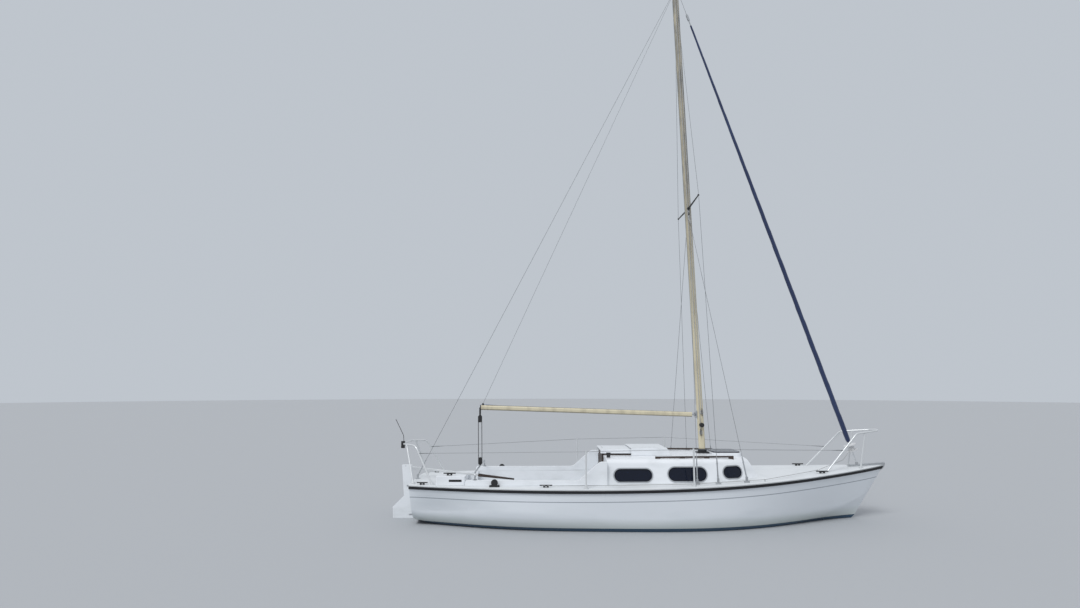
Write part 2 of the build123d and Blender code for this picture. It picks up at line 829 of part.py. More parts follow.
# Chainplates on the deck, and the shrouds and the backstay that they hold
chainplate_parts = []
wire_parts = []
screw_parts = []
for x, inset, top_z in shrouds:
    side_y = half_beam(x) - inset
    eye = Vector(x, side_y, sheer_z(x) + chainplate_rise)
    masthead_wire = top_z > spreader_z
    upper = mast_at(top_z, 0, mast_side + tang_gap)
    bend = spreader_end + Vector(0, spreader_tip * 0.6, 0)
    aim = bend if masthead_wire else upper
    pull = (aim - eye).normalized()
    screw_foot = eye + pull * plate_gap
    screw_head = screw_foot + pull * screw_long
    plate = block(x - chainplate_half, x + chainplate_half, side_y - 4, side_y + 4,
                  below_deck, eye.Z + chainplate_half)
    pad = block(x - chainplate_pad, x + chainplate_pad, side_y - 20, side_y + 20,
                below_deck, sheer_z(x) + chainplate_pad)
    chainplate_parts.append((plate + pad) - hull_outer)
    screw_parts.append(rod(screw_foot, screw_head, screw_radius) - plate)
    if masthead_wire:
        wire_parts.append(rod(screw_head, bend, wire_radius) - tip_ball)
        wire_parts.append(rod(bend, upper, wire_radius) - tip_ball - mast)
    else:
        wire_parts.append(rod(screw_head, upper, wire_radius) - mast - socket)

back_deck = deck_z(backstay_x, backstay_y)
backstay_foot = Vector(backstay_x, backstay_y, back_deck + backstay_rise)
backstay_head = Vector(crane_aft_x, 0, crane_low)
back_pull = (backstay_head - backstay_foot).normalized()
back_screw_foot = backstay_foot + back_pull * plate_gap
back_screw_head = back_screw_foot + back_pull * screw_long
back_plate = block(backstay_x - chainplate_half, backstay_x + chainplate_half, backstay_y - 5, backstay_y + 5,
                   back_deck, backstay_foot.Z + chainplate_half)
back_plate += block(backstay_x - chainplate_pad, backstay_x + chainplate_pad,
                    backstay_y - 28, backstay_y + 28, back_deck - rail_sink, back_deck + rail_base_thick)
nodes["chainplates"] = group(both_sides(group(*chainplate_parts)), back_plate - hull_outer)
nodes["shrouds"] = both_sides(group(*wire_parts))
nodes["rigging_screws"] = group(both_sides(group(*screw_parts)),
                                rod(back_screw_foot, back_screw_head, screw_radius) - back_plate)
nodes["backstay"] = rod(back_screw_head, backstay_head + back_pull * wire_radius, wire_radius) - crane

# Forestay line, with the drum and the rolled sail turning about it
stay_foot = Vector(stay_foot_x, 0, stay_foot_z)
stay_head = Vector(crane_fore_x, 0, crane_low)
stay_line = (stay_head - stay_foot).normalized()


def stay_at(z):
    """A point on the forestay at a height."""
    return stay_foot + stay_line * ((z - stay_foot_z) / stay_line.Z)


drum_foot = stay_at(drum_z)
drum_top = drum_foot + stay_line * drum_height
neck_top = stay_at(sail_low_z - drum_neck)
drum = rod(drum_foot, drum_foot + stay_line * drum_disc, drum_radius)
drum += rod(drum_foot, drum_top, drum_radius / 2)
drum += rod(drum_top - stay_line * drum_disc, drum_top, drum_radius)
drum += rod(drum_top, neck_top, drum_neck)
nodes["furler_drum"] = drum
sail_low, sail_high = stay_at(sail_low_z), stay_at(sail_high_z)
sail_mid = (sail_low + sail_high) * 0.5
rolled = cone(neck_top, sail_low, sail_neck, sail_low_radius)
rolled += cone(sail_low, sail_mid, sail_low_radius, sail_mid_radius)
rolled += cone(sail_mid, sail_high, sail_mid_radius, sail_high_radius)
nodes["furled_sail"] = rolled
foil_top = stay_at(swivel_z + swivel_half + foil_past_swivel)
headfoil = rod(sail_high, foil_top, foil_radius)
nodes["headfoil"] = headfoil
swivel = rod(stay_at(swivel_z - swivel_half), stay_at(swivel_z + swivel_half), swivel_radius)
nodes["halyard_swivel"] = swivel - headfoil
stay_lug = block(stay_foot_x - stay_lug_half, stay_foot_x + stay_lug_half, -link_radius, link_radius,
                 below_deck, stay_foot_z + stay_lug_half / 2)
nodes["forestay"] = rod(foil_top + stay_line * turning_gap, stay_head + stay_line * wire_radius,
                        wire_radius) - crane
nodes["forestay_link"] = rod(stay_foot, drum_foot - stay_line * turning_gap, link_radius) - stay_lug

# Plate over the stem, with the lug of the forestay and the eye for a bow line
stem_aft_x = stay_foot_x - stem_plate_aft
stem_tip_x = bow_x + stem_plate_fore
stem_side = outline(
    (stem_aft_x, sheer_z(stem_aft_x) + stem_plate_rise),
    (stem_tip_x, sheer_bow + stem_plate_rise), (stem_tip_x, sheer_bow + 4),
    (bow_x + 4, sheer_bow - 40), (bow_x - 60, sheer_bow - 90), (stem_aft_x, sheer_bow - 90),
)
stem_plate = across(stem_side, -stem_plate_half, stem_plate_half) - hull_outer - nodes["rubbing_strake"]
stem_eye = Vector(stem_eye_x, 0, sheer_z(stem_eye_x) + stem_eye_rise)
stem_bore = Pos(*stem_eye) * Rot(90, 0, 0) * Cylinder(stem_eye_bore / 2, 4 * stem_plate_half)
nodes["stemhead"] = stem_plate + (stay_lug - hull_outer) - stem_bore


# Rails
def rail_foot(x, y, sign=1):
    """Where a rail tube starts, a little below the deck."""
    return (x, sign * y, deck_z(x, y) - rail_sink)


def rail_leg(foot, top):
    """The bases and the legs that stand under a rail, one each side."""
    legs = []
    for sign in (-1, 1):
        x, y, z = top
        legs.append(rod(rail_foot(*foot, sign), (x, sign * y, z), rail_radius))
    return legs


def rail_bases(*feet):
    """Round plates under the feet of a rail, on both sides."""
    plates = []
    for x, y in feet:
        for sign in (-1, 1):
            level = deck_z(x, y)
            pad = upward(Circle(rail_base), level - rail_sink, level + rail_base_thick)
            plates.append(Pos(x, sign * y) * pad)
    return plates


foot_x, foot_y = pulpit_foot
corner_x, corner_y, corner_z = pulpit_corner
nose_x, nose_z = pulpit_nose
side_x, side_y, side_z = nose_x - 60, corner_y * 0.42, nose_z - 8
pulpit = bent_tube([
    rail_foot(foot_x, foot_y), (corner_x, corner_y, corner_z), (side_x, side_y, side_z), (nose_x, 0, nose_z),
    (side_x, -side_y, side_z), (corner_x, -corner_y, corner_z), rail_foot(foot_x, foot_y, -1),
], 90, rail_radius)
for piece in rail_leg(pulpit_leg_foot, pulpit_leg_top) + rail_bases(pulpit_foot, pulpit_leg_foot):
    pulpit += piece
nodes["pulpit"] = group(pulpit - hull_outer - stem_plate)

tail_x, tail_y = pushpit_foot
knee_x, knee_y, knee_z = pushpit_knee
stern_x, stern_y, stern_z = pushpit_corner
pushpit = bent_tube([
    rail_foot(tail_x, tail_y), (knee_x, knee_y, knee_z), (stern_x, stern_y, stern_z),
    (stern_x, -stern_y, stern_z), (knee_x, -knee_y, knee_z), rail_foot(tail_x, tail_y, -1),
], [120, 60, 60, 120], rail_radius)
for piece in rail_leg(pushpit_leg_foot, pushpit_leg_top) + rail_bases(pushpit_foot, pushpit_leg_foot):
    pushpit += piece
nodes["pushpit"] = group(pushpit - hull_outer)

# Bent whip in its clamp
clamp_aft, clamp_fore, clamp_low, clamp_high = whip_clamp
clamp = block(clamp_aft, clamp_fore, whip_y - rail_radius, whip_y + rail_radius, clamp_low, clamp_high)
nodes["whip_rod"] = clamp - pushpit + bent_tube([(x, whip_y, z) for x, z in whip], 60, whip_radius)

# Stanchions
posts = []
for x in stanchions:
    y = half_beam(x) - stanchion_inset
    post = rod((x, y, below_deck), (x, y, sheer_z(x) + stanchion_height), stanchion_radius)
    post += rod((x, y, below_deck), (x, y, sheer_z(x) + stanchion_socket), stanchion_radius + 5)
    post += rod((x, y, below_deck), (x, y, sheer_z(x) + stanchion_base_rise), stanchion_radius + 20)
    posts.append(post - hull_outer)
nodes["stanchions"] = both_sides(group(*posts))

# Boom, its gooseneck and the topping lift, which swing about one line behind the mast
behind = -mast_half - pin_behind_mast
pin_low = mast_at(boom_z, behind)
boom_start = pin_low - Vector(boom_start_gap, 0, 0)
boom_end = Vector(boom_end_x, 0, boom_end_z)
boom_line = (boom_end - boom_start).normalized()
boom_plane = Plane(origin=boom_start, x_dir=(0, 1, 0), z_dir=boom_line)
boom = extrude(boom_plane * RectangleRounded(boom_wide, boom_deep, boom_wide / 2 - 0.5),
               amount=(boom_end - boom_start).length)
nodes["boom"] = boom
half_tongue = mast_line * (tongue_thick / 2)
boom_tongue = rod(pin_low - half_tongue, pin_low + half_tongue, tongue_radius)
boom_tongue += block(boom_start.X - 1, pin_low.X, -10, 10, boom_z - 11, boom_z + 11)
boom_tongue -= rod(pin_low - mast_line * boom_deep, pin_low + mast_line * boom_deep, pin_radius + pin_gap)
nodes["boom_tongue"] = boom_tongue - boom
gooseneck = Pos(pin_low.X + pin_behind_mast - 4, 0, boom_z) * Box(12, 44, 110)
gooseneck += rod(pin_low - mast_line * 36, pin_low + mast_line * 36, pin_radius)
for sign in (-1, 1):
    cheek_low = pin_low + mast_line * (sign * cheek_high - tongue_thick / 4)
    gooseneck += rod(cheek_low, cheek_low + half_tongue, tongue_radius)
    gooseneck += Pos(pin_low.X + 18, 0, boom_z + sign * cheek_high) * Box(36, tongue_thick, tongue_thick / 2)
nodes["gooseneck"] = gooseneck - mast

# Fittings at the boom's after end: an eye for the topping lift and a strap for the sheet block
end_oval = RectangleRounded(boom_wide + 2 * end_cap_band, boom_deep + 2 * end_cap_band, boom_wide / 2)
end_cap = extrude(Plane(origin=boom_end, x_dir=(0, 1, 0), z_dir=boom_line) * end_oval, amount=end_cap_thick)
lift_eye = Vector(boom_end_x + 30, 0, boom_end_z + boom_deep / 2 + lift_eye_rise)
lift_lug = block(lift_eye.X - 14, lift_eye.X + 14, -4, 4, boom_end_z, lift_eye.Z + 6)
block_x = boom_end_x - sheet_lug_half
strap_low = boom_end_z - boom_deep / 2 - sheet_hang
sheet_lug = block(block_x - sheet_lug_half, block_x + sheet_lug_half, -5, 5, strap_low, boom_end_z)
nodes["boom_end"] = end_cap + (lift_lug + sheet_lug - boom)
lift_head = mast_at(crane_low - cap_thick, behind)
nodes["topping_lift"] = rod(lift_eye, lift_head, lift_radius) - lift_lug


def sheet_block(x, z):
    """A double sheet block: cheeks each side of its sheaves, with its axle through them."""
    cheek = RectangleRounded(sheet_block_wide, sheet_block_tall, sheet_block_wide / 2 - 0.5)
    shape = Rot(90, 0, 0) * Cylinder(sheet_block_wide / 2 - sheave_inset, sheet_block_thick)
    for step in range(3):
        y = -sheet_block_thick / 2 + step * (sheet_block_thick - cheek_thick) / 2
        shape += across(cheek, y, y + cheek_thick)
    return Pos(x, 0, z) * shape


nodes["sheet_block_upper"] = sheet_block(block_x, strap_low - pin_gap - sheet_block_tall / 2)

# Sheet horse: an inverted U of tube on the coamings, and the lower block that stands on it
horse_y = cockpit_side(horse_x) + coaming_thick / 2
horse = bent_tube([
    (horse_x, horse_y, coaming_top), (horse_x, horse_y, horse_top),
    (horse_x, -horse_y, horse_top), (horse_x, -horse_y, coaming_top),
], horse_bend, horse_radius)
for sign in (-1, 1):
    horse += Pos(horse_x, sign * horse_y) * upward(Circle(rail_base), coaming_top,
                                                   coaming_top + rail_base_thick)
nodes["sheet_horse"] = horse
nodes["sheet_block_lower"] = sheet_block(horse_x, horse_top + horse_radius + pin_gap + sheet_block_tall / 2)

# Rudder hung on the transom, turning about a line parallel to it
transom_lean = (hull_frames[0][0] - hull_frames[0][2]) / (sheer_aft - hull_frames[0][3])
lean_run = math.hypot(1, transom_lean)
axis_line = Vector(transom_lean / lean_run, 0, 1 / lean_run)
axis_origin = Vector(transom_x - rudder_axis_gap, 0, sheer_aft)


def axis_at(z, aft=0):
    """A point at a height, some way aft of the rudder's axis."""
    share = (z - axis_origin.Z) / axis_line.Z
    return axis_origin + axis_line * share + Vector(-aft, 0, 0)


def side_point(z, aft):
    """The same point in side view."""
    point = axis_at(z, aft)
    return (point.X, point.Z)


blade = outline(
    side_point(rudder_head_z, rudder_front_gap), side_point(rudder_head_z, rudder_head_chord),
    side_point(320, rudder_head_chord + 6), side_point(160, rudder_chord - 20),
    side_point(-200, rudder_chord), side_point(rudder_tip_z + 60, rudder_chord * 0.72),
    side_point(rudder_tip_z, rudder_chord * 0.56), side_point(rudder_tip_z, rudder_front_gap + 40),
    side_point(rudder_tip_z + 60, rudder_front_gap),
)
rudder = across(blade, -rudder_thick / 2, rudder_thick / 2)

# Tiller: a metal arm in a slot of the rudder head, with a wooden handle over its forward end
tiller_high = axis_at(tiller_high_z, rudder_head_chord - 12)
tiller_low = Vector(tiller_low_x, 0, tiller_low_z)
tiller_run = tiller_low - tiller_high
tiller_line = tiller_run.normalized()
arm_end = tiller_high + tiller_run * tiller_joint


def tiller_section(point, wide, thick):
    """One section across the tiller."""
    plane = Plane(origin=point, x_dir=(0, 1, 0), z_dir=tiller_line)
    return plane * RectangleRounded(wide, thick, tiller_corner)


arm = extrude(tiller_section(tiller_high, tiller_wide, tiller_thick), amount=(arm_end - tiller_high).length)
handle = loft([
    tiller_section(arm_end - tiller_line * handle_overlap, handle_wide, handle_thick),
    tiller_section(tiller_low, handle_tip, handle_tip),
])
nodes["tiller_arm"] = arm
nodes["tiller"] = handle - arm
head_slot = block(tiller_high.X - 200, tiller_high.X + 400, -tiller_wide / 2, tiller_wide / 2,
                  tiller_high_z - 10, above_deck)
nodes["rudder"] = rudder - arm - head_slot

# Gudgeons on the transom and pintles on the rudder, at two heights
gudgeon_parts = []
pintle_parts = []
for z in gudgeons:
    axis_x = axis_at(z).X
    low_z, high_z = z - gudgeon_height / 2, z + gudgeon_height / 2
    wall_x = axis_x + rudder_axis_gap
    eye = rod(axis_at(low_z), axis_at(high_z), gudgeon_radius)
    eye += block(axis_x, wall_x + 20, -8, 8, z - 9, z + 9)
    eye += block(wall_x - 6, wall_x + 60, -gudgeon_strap, gudgeon_strap, low_z, high_z)
    eye -= rod(axis_at(z - gudgeon_strap), axis_at(z + gudgeon_strap), pintle_radius + pintle_gap)
    gudgeon_parts.append(eye - hull_outer)
    head_low, head_high = high_z + 1, high_z + 1 + pintle_head_thick
    pintle = rod(axis_at(low_z - pintle_head), axis_at(head_high), pintle_radius)
    pintle += rod(axis_at(head_low), axis_at(head_high), pintle_head)
    pintle += block(axis_x - pintle_arm, axis_x, -rudder_thick / 2 - 4, rudder_thick / 2 + 4,
                    head_low + 1, head_high - 1)
    pintle_parts.append(pintle - rudder)
nodes["gudgeons"] = group(*gudgeon_parts)
nodes["pintles"] = group(*pintle_parts)


def winch(x, y, z, base, waist, tall):
    """A small winch: base, waisted drum and a cap."""
    cap_half = base * 0.86
    body = Pos(x, y) * upward(Circle(base), z, z + tall * 0.35)
    body += cone((x, y, z + tall * 0.35), (x, y, z + tall * 0.62), base * 0.92, waist)
    body += cone((x, y, z + tall * 0.62), (x, y, z + tall * 0.88), waist, cap_half)
    body += Pos(x, y) * upward(Circle(cap_half), z + tall * 0.88, z + tall)
    return body


roof_winch = winch(roof_winch_x, roof_winch_y, under_roof, roof_winch_base, roof_winch_waist,
                   roof_winch_top - under_roof)
nodes["roof_winches"] = both_sides(roof_winch - roof_outer)
reel = rod(mast_at(mast_winch_z, 0, -mast_side), mast_at(mast_winch_z, 0, -mast_side - mast_winch_long),
           mast_winch_radius)
nodes["mast_winch"] = reel - mast


def horn_cleat(x, y, z, long):
    """A two-footed cleat with its horns along the boat."""
    body = block(x - long * 0.22, x + long * 0.22, y - cleat_half_wide, y + cleat_half_wide, z - 60, z + 24)
    body -= block(x - long * 0.08, x + long * 0.08, y - 20, y + 20, z + 4, z + 16)
    horns = Pos(x, y, z + 29) * Rot(0, 90, 0) * Cylinder(cleat_horn, long)
    return body + horns


cleat_parts = []
for x, inset, long in cleats:
    y = half_beam(x) - inset
    cleat_parts.append(horn_cleat(x, y, deck_z(x, y), long) - hull_outer)
quarter_cleat = horn_cleat(quarter_cleat_x, quarter_mid_y, quarter_locker_top, cleats[0][2])
nodes["cleats"] = group(both_sides(group(*cleat_parts)), quarter_cleat - quarter_locker)

quarter_y = half_beam(quarter_x) - quarter_inset
quarter_z = sheer_z(quarter_x)
quarter = rod((quarter_x, quarter_y - quarter_thick / 2, quarter_z + 62),
              (quarter_x, quarter_y + quarter_thick / 2, quarter_z + 62), quarter_radius)
quarter += block(quarter_x - 70, quarter_x + 70, quarter_y - 22, quarter_y + 22, below_deck, quarter_z + 32)
nodes["quarter_blocks"] = both_sides(quarter - hull_outer)

# Lines that the moving pieces turn about, in metres
for name, point, line in [
    ("rudder_turn", axis_at(300), axis_line),
    ("boom_swing", pin_low, mast_line),
    ("furler_spin", drum_foot, stay_line),
    ("fore_hatch_lift", fore_hinge, Vector(0, 1, 0)),
    ("locker_lift_port", locker_hinge, Vector(-1, 0, 0)),
    ("stem_eye", stem_eye, Vector(0, 1, 0)),
]:
    print(name, [round(v / 1000, 6) for v in point], [round(v, 6) for v in line])

os.makedirs("parts", exist_ok=True)
for name, shape in nodes.items():
    export_step(group(shape), os.path.join("parts", name + ".step"))
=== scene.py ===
import json
import math

import bpy
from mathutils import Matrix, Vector


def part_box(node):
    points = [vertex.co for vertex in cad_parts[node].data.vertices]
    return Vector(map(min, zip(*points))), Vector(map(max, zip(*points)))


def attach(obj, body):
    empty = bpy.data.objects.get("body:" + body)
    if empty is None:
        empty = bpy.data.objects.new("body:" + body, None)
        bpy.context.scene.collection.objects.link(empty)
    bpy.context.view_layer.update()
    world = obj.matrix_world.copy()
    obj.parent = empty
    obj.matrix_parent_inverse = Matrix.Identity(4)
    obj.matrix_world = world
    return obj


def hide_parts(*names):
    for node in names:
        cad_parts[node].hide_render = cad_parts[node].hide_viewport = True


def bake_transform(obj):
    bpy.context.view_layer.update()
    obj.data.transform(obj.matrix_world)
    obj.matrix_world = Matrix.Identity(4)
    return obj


bl_info = {
    "name": "Small cruising sloop",
    "version": (1, 0, 0),
    "blender": (4, 5, 0),
    "location": "3D View > Sidebar > Sloop",
    "description": "Dresses the frame of a small sloop with its finishes, wires and lines",
    "category": "Object",
}

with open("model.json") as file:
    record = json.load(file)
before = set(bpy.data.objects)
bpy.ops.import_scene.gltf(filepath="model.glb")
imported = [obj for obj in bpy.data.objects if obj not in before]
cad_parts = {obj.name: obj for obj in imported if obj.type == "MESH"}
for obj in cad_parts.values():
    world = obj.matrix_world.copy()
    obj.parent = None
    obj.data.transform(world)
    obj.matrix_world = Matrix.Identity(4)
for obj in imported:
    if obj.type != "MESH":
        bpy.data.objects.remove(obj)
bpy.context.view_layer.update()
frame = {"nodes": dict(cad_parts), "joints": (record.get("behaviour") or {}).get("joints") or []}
nodes = frame["nodes"]
joints = {joint["name"]: joint for joint in frame["joints"]}

# The camera's lens, from its focal length in pixels of a picture 1080 pixels wide
photo_width = 1080
focal_pixels = 670
sensor_width = 36.0
far_clip = 400

# The floor, the lamp and the light of the sky
floor_radius = 90
sun_place = (-6, -8, 12)
sun_turn = (math.radians(42), 0, math.radians(-28))
sun_softness = math.radians(25)
sky_colour = (0.93, 0.95, 1.0)

# The sheer line in side view, as the hull has it: straight aft of the low point, then one arc
sheer_low_x = -1.5
sheer_low_z = 0.568
sheer_slope = 0.0010256
sheer_radius = 64.42

# The mast's middle line stands this far ahead of the line that the boom swings about
mast_lead = 0.0785
mast_half_long = 0.0485
mast_half_wide = 0.036
track_foot = 1.66
track_head = 8.16

# Halyards down the mast. Columns: place ahead of the middle line, side, height of the cleat
halyards = [
    (0.018, -1, 1.545),
    (-0.016, -1, 1.245),
    (0.004, 1, 1.385),
]
halyard_head = 8.17
cleat_turns = 3

# The outhaul and its cleat, from the aft end of the boom's groove: ahead, to port, up
outhaul_steps = [(-0.08, 0.012, 0.012), (0.10, 0.020, 0.006), (0.45, 0.0265, -0.040), (0.52, 0.0275, -0.042)]
outhaul_cleat = (0.56, 0.024, -0.044)

# Heights on the mast of the plates that hold the shrouds and the backstay
tang_heights = (4.591, 4.552, 8.190)
tang_size = (0.022, 0.004, 0.085)
gooseneck_height = 1.51

# Where the guard wires end on the rails, and how they pass the stanchions, on the port side
pulpit_eye = (2.790, 0.323, 1.007)
pushpit_eye = (-3.338, 0.536, 0.985)
fore_post_inset = (0.032, 0.0455, 0.012)
aft_post_inset = (0.032, 0.032, 0.042)

# Terminal at each end of a guard wire. Columns: start and end from the eye, radius
guard_terminal = [
    (0.0, 0.035, 0.008),
    (0.035, 0.13, 0.0055),
    (0.13, 0.19, 0.004),
]

# The mainsheet's falls stand this far from the middle of their blocks, along and across the boat
fall_along = 0.026
fall_across = 0.011

# Cabin windows. Columns: aft end, forward end, middle height, height
windows = [
    (-0.596, -0.073, 0.714, 0.168),
    (0.151, 0.678, 0.729, 0.182),
    (0.924, 1.200, 0.746, 0.155),
]
rubber_inset = 0.0015
rubber_radius = 0.0028
screw_line_out = 0.009

# Shrouds on the port side. Columns: eye of the chainplate, upper end or spreader tip
shrouds = [
    ((0.506, 0.9695, 0.672), (0.701, 0.039, 4.591)),
    ((0.790, 0.9674, 0.679), (0.697, 0.715, 4.710)),
    ((1.190, 0.9254, 0.694), (0.702, 0.039, 4.552)),
]
screw_long = 0.24
screw_seat = 0.012
nut_shares = (0.16, 0.84)
terminal_long = 0.10
swage_long = 0.035

# Feet on the deck with their bolts, on the port side. Columns: node, forward place, side place
deck_feet = [
    ("pulpit", 2.490, 0.385),
    ("pulpit", 3.080, 0.205),
    ("pushpit", -3.118, 0.665),
    ("pushpit", -3.400, 0.590),
    ("stanchions", -1.003, 1.0827),
    ("stanchions", 0.445, 1.0694),
]
foot_bolt_circle = 0.0235
horse_x = -2.515
horse_foot_inset = 0.030
horse_bolt_circle = 0.0215
stem_bolt_rows = (3.06, 3.20, 3.42, 3.50)
stem_bolt_side = 0.016

# The furling line's eyes on the starboard deck. Columns: forward place, place to starboard
line_eyes = [(2.40, 0.33), (1.45, 0.885), (0.445, 1.030), (-1.003, 1.010)]
line_start = [(3.045, -0.050, 1.022), (2.80, -0.270, 0.865)]
line_cleat = (-1.540, -0.969, 0.597)
eye_height = 0.024
furling_share = 0.8

# Turns of the furling line on its cleat. Columns: ahead of the cleat's middle, to port, up
line_turns = [
    (0.045, 0.0, 0.0),
    (0.030, 0.014, 0.004),
    (-0.045, -0.014, 0.004),
    (-0.060, 0.0, 0.0),
    (-0.045, 0.014, 0.004),
    (0.045, -0.014, 0.006),
    (0.060, 0.0, 0.0),
    (0.045, 0.014, 0.006),
    (-0.030, -0.014, 0.008),
    (-0.045, 0.0, 0.002),
]

# Rudder fittings. Heights of the two straps, how far aft and out their bolts stand
strap_heights = (0.464, 0.049)
pintle_bolts = (0.05, 0.10)
gudgeon_bolts = (0.045, 0.075)
gudgeon_bolt_drop = 0.024
tiller_bolts = [(0.05, 0.745), (0.11, 0.752)]

# Radius of the rolled cloth. Columns: share of the way up, radius
roll_stations = [(0.0, 0.024), (0.004, 0.034), (0.02, 0.037), (0.5, 0.031), (1.0, 0.015)]
roll_sides = 32
roll_cuts = (100, 5)

# Ways and turns that several pieces share; rays start well outside the boat
down = (0, 0, -1)
forward = (1, 0, 0)
outside = 4
hole_sideways = (math.pi / 2, 0, 0)
hole_forward = (0, math.pi / 2, 0)


# Selection and shape helpers
def deselect():
    """Nothing is selected, so that the next operator acts on one piece alone."""
    if bpy.context.object and bpy.context.object.mode != "OBJECT":
        bpy.ops.object.mode_set(mode="OBJECT")
    bpy.ops.object.select_all(action="DESELECT")


def select_only(piece):
    """One piece is selected and active."""
    deselect()
    piece.select_set(True)
    bpy.context.view_layer.objects.active = piece


def settle(piece, name):
    """The piece's place goes into its mesh, and the piece gets its name."""
    select_only(piece)
    bpy.ops.object.transform_apply(location=True, rotation=True, scale=True)
    piece.name = name
    piece.data.name = name
    return piece


def join(pieces, name):
    """Several pieces become one."""
    deselect()
    for piece in pieces:
        piece.select_set(True)
    bpy.context.view_layer.objects.active = pieces[0]
    if len(pieces) > 1:
        bpy.ops.object.join()
    return settle(bpy.context.object, name)


def smooth(piece, angle):
    """Shades a piece smoothly, up to an angle between its faces."""
    select_only(piece)
    bpy.ops.object.shade_smooth_by_angle(angle=math.radians(angle))
    return piece


def bar(start, end, radius, sides, end_radius=None):
    """A round bar between two points, tapered where a second radius is given."""
    start, end = Vector(start), Vector(end)
    turn = (end - start).to_track_quat("Z", "Y").to_euler()
    deselect()
    bpy.ops.mesh.primitive_cone_add(
        vertices=sides, radius1=radius, radius2=radius if end_radius is None else end_radius,
        depth=(end - start).length, location=(start + end) / 2, rotation=turn,
    )
    return settle(bpy.context.object, "bar")


def box(centre, size, bevel):
    """A box at a place, with its edges rounded."""
    deselect()
    bpy.ops.mesh.primitive_cube_add(size=1, location=centre)
    piece = bpy.context.object
    piece.scale = size
    return round_edges(settle(piece, "box"), bevel)


def ring(centre, turn, radius, thick, sides):
    """A ring of round bar."""
    deselect()
    bpy.ops.mesh.primitive_torus_add(major_radius=radius, minor_radius=thick, major_segments=sides,
                                     minor_segments=8, location=centre, rotation=turn)
    return settle(bpy.context.object, "ring")


def line(points, radius, name, resolution=3):
    """A rope or tube along a smooth curve through a few points."""
    deselect()
    bpy.ops.curve.primitive_nurbs_path_add()
    path = bpy.context.object
    path.data.splines.clear()
    spline = path.data.splines.new("NURBS")
    spline.points.add(len(points) - 1)
    for point, place in zip(spline.points, points):
        point.co = (*place, 1)
    spline.use_endpoint_u = True
    spline.order_u = 3
    spline.resolution_u = 6
    path.data.bevel_depth = radius
    path.data.bevel_resolution = resolution
    path.data.use_fill_caps = True
    path.location = (0, 0, 0)
    select_only(path)
    bpy.ops.object.convert(target="MESH")
    piece = settle(bpy.context.object, name)
    return smooth(piece, 60)


def round_edges(piece, width):
    """Bevels the sharp edges of a piece."""
    modifier = piece.modifiers.new("rounded", "BEVEL")
    modifier.width = width
    modifier.segments = 2
    modifier.limit_method = "ANGLE"
    modifier.angle_limit = math.radians(40)
    select_only(piece)
    bpy.ops.object.modifier_apply(modifier=modifier.name)
    return piece


def even_shading(piece):
    """Large faces lead the shading, so thin triangles beside a cut-out leave no streaks."""
    modifier = piece.modifiers.new("even shading", "WEIGHTED_NORMAL")
    modifier.mode = "FACE_AREA"
    modifier.weight = 100
    modifier.thresh = 0.02
    modifier.keep_sharp = True
    select_only(piece)
    bpy.ops.object.modifier_apply(modifier=modifier.name)
    return piece


def dressed_copy(node, angle=35, bevel=0.0):
    """A smooth copy of a frame node, which stands for it."""
    source = nodes[node]
    select_only(source)
    bpy.ops.object.duplicate()
    piece = bpy.context.object
    for key in list(piece.keys()):
        if key.startswith("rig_"):
            del piece[key]
    piece.parent = None
    settle(piece, node + "_skin")
    bpy.ops.mesh.customdata_custom_splitnormals_clear()
    bpy.ops.object.mode_set(mode="EDIT")
    bpy.ops.mesh.select_all(action="SELECT")
    bpy.ops.mesh.remove_doubles(threshold=0.00002)
    if bevel > 0:
        bpy.ops.mesh.dissolve_limited(angle_limit=math.radians(1))
    bpy.ops.object.mode_set(mode="OBJECT")
    if bevel > 0:
        round_edges(piece, bevel)
    smooth(piece, angle)
    even_shading(piece)
    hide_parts(node)
    return piece


def ride(piece, body="boat"):
    """The piece moves with a body of the frame."""
    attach(piece, body)
    return piece


def paint(piece, material):
    """Gives a piece one material, in a slot of its own."""
    piece.data.materials.clear()
    piece.data.materials.append(material)
    return piece


def paint_node(node, material):
    """Gives a frame node one material in its own slot."""
    slots = nodes[node].material_slots
    if not slots:
        nodes[node].data.materials.append(material)
    for entry in slots:
        entry.material = material


def vectors(places):
    """Places as vectors."""
    return [Vector(place) for place in places]


def axis_point(joint, z):
    """The point of a joint's axis at a height."""
    foot, up = Vector(joints[joint]["pos_m"]), Vector(joints[joint]["axis"])
    return foot + up * ((z - foot.z) / up.z)


def mast_point(z, ahead=0.0, side=0.0):
    """A point beside the mast's middle line at a height."""
    return axis_point("boom_swing", z) + Vector((mast_lead + ahead, side, 0))


def meet(node, start, way):
    """Where a line meets a frame node or its smooth copy, and the way the surface faces there."""
    target = bpy.data.objects.get(node + "_skin", nodes[node])
    place = target.matrix_world
    back = place.inverted()
    found, hit, normal, _ = target.ray_cast(back @ Vector(start), back.to_3x3() @ Vector(way))
    if not found:
        raise RuntimeError(f"No line from {start} along {way} meets {node}")
    return place @ hit, (place.to_3x3() @ normal).normalized()


def stud(place, normal, radius=0.004, high=0.0018, sides=8):
    """A low screw or bolt head on a surface."""
    normal = Vector(normal).normalized()
    place = Vector(place)
    return bar(place - normal * high, place + normal * high, radius, sides, radius * 0.8)


def four_studs(node, centre, radius):
    """Four bolt heads round the middle of a plate of a node, seen from above."""
    heads = []
    for step in range(4):
        turn = math.pi / 2 * (step + 0.5)
        start = (centre[0] + radius * math.cos(turn), centre[1] + radius * math.sin(turn), centre[2])
        heads.append(stud(*meet(node, start, down), radius=0.0045))
    return heads


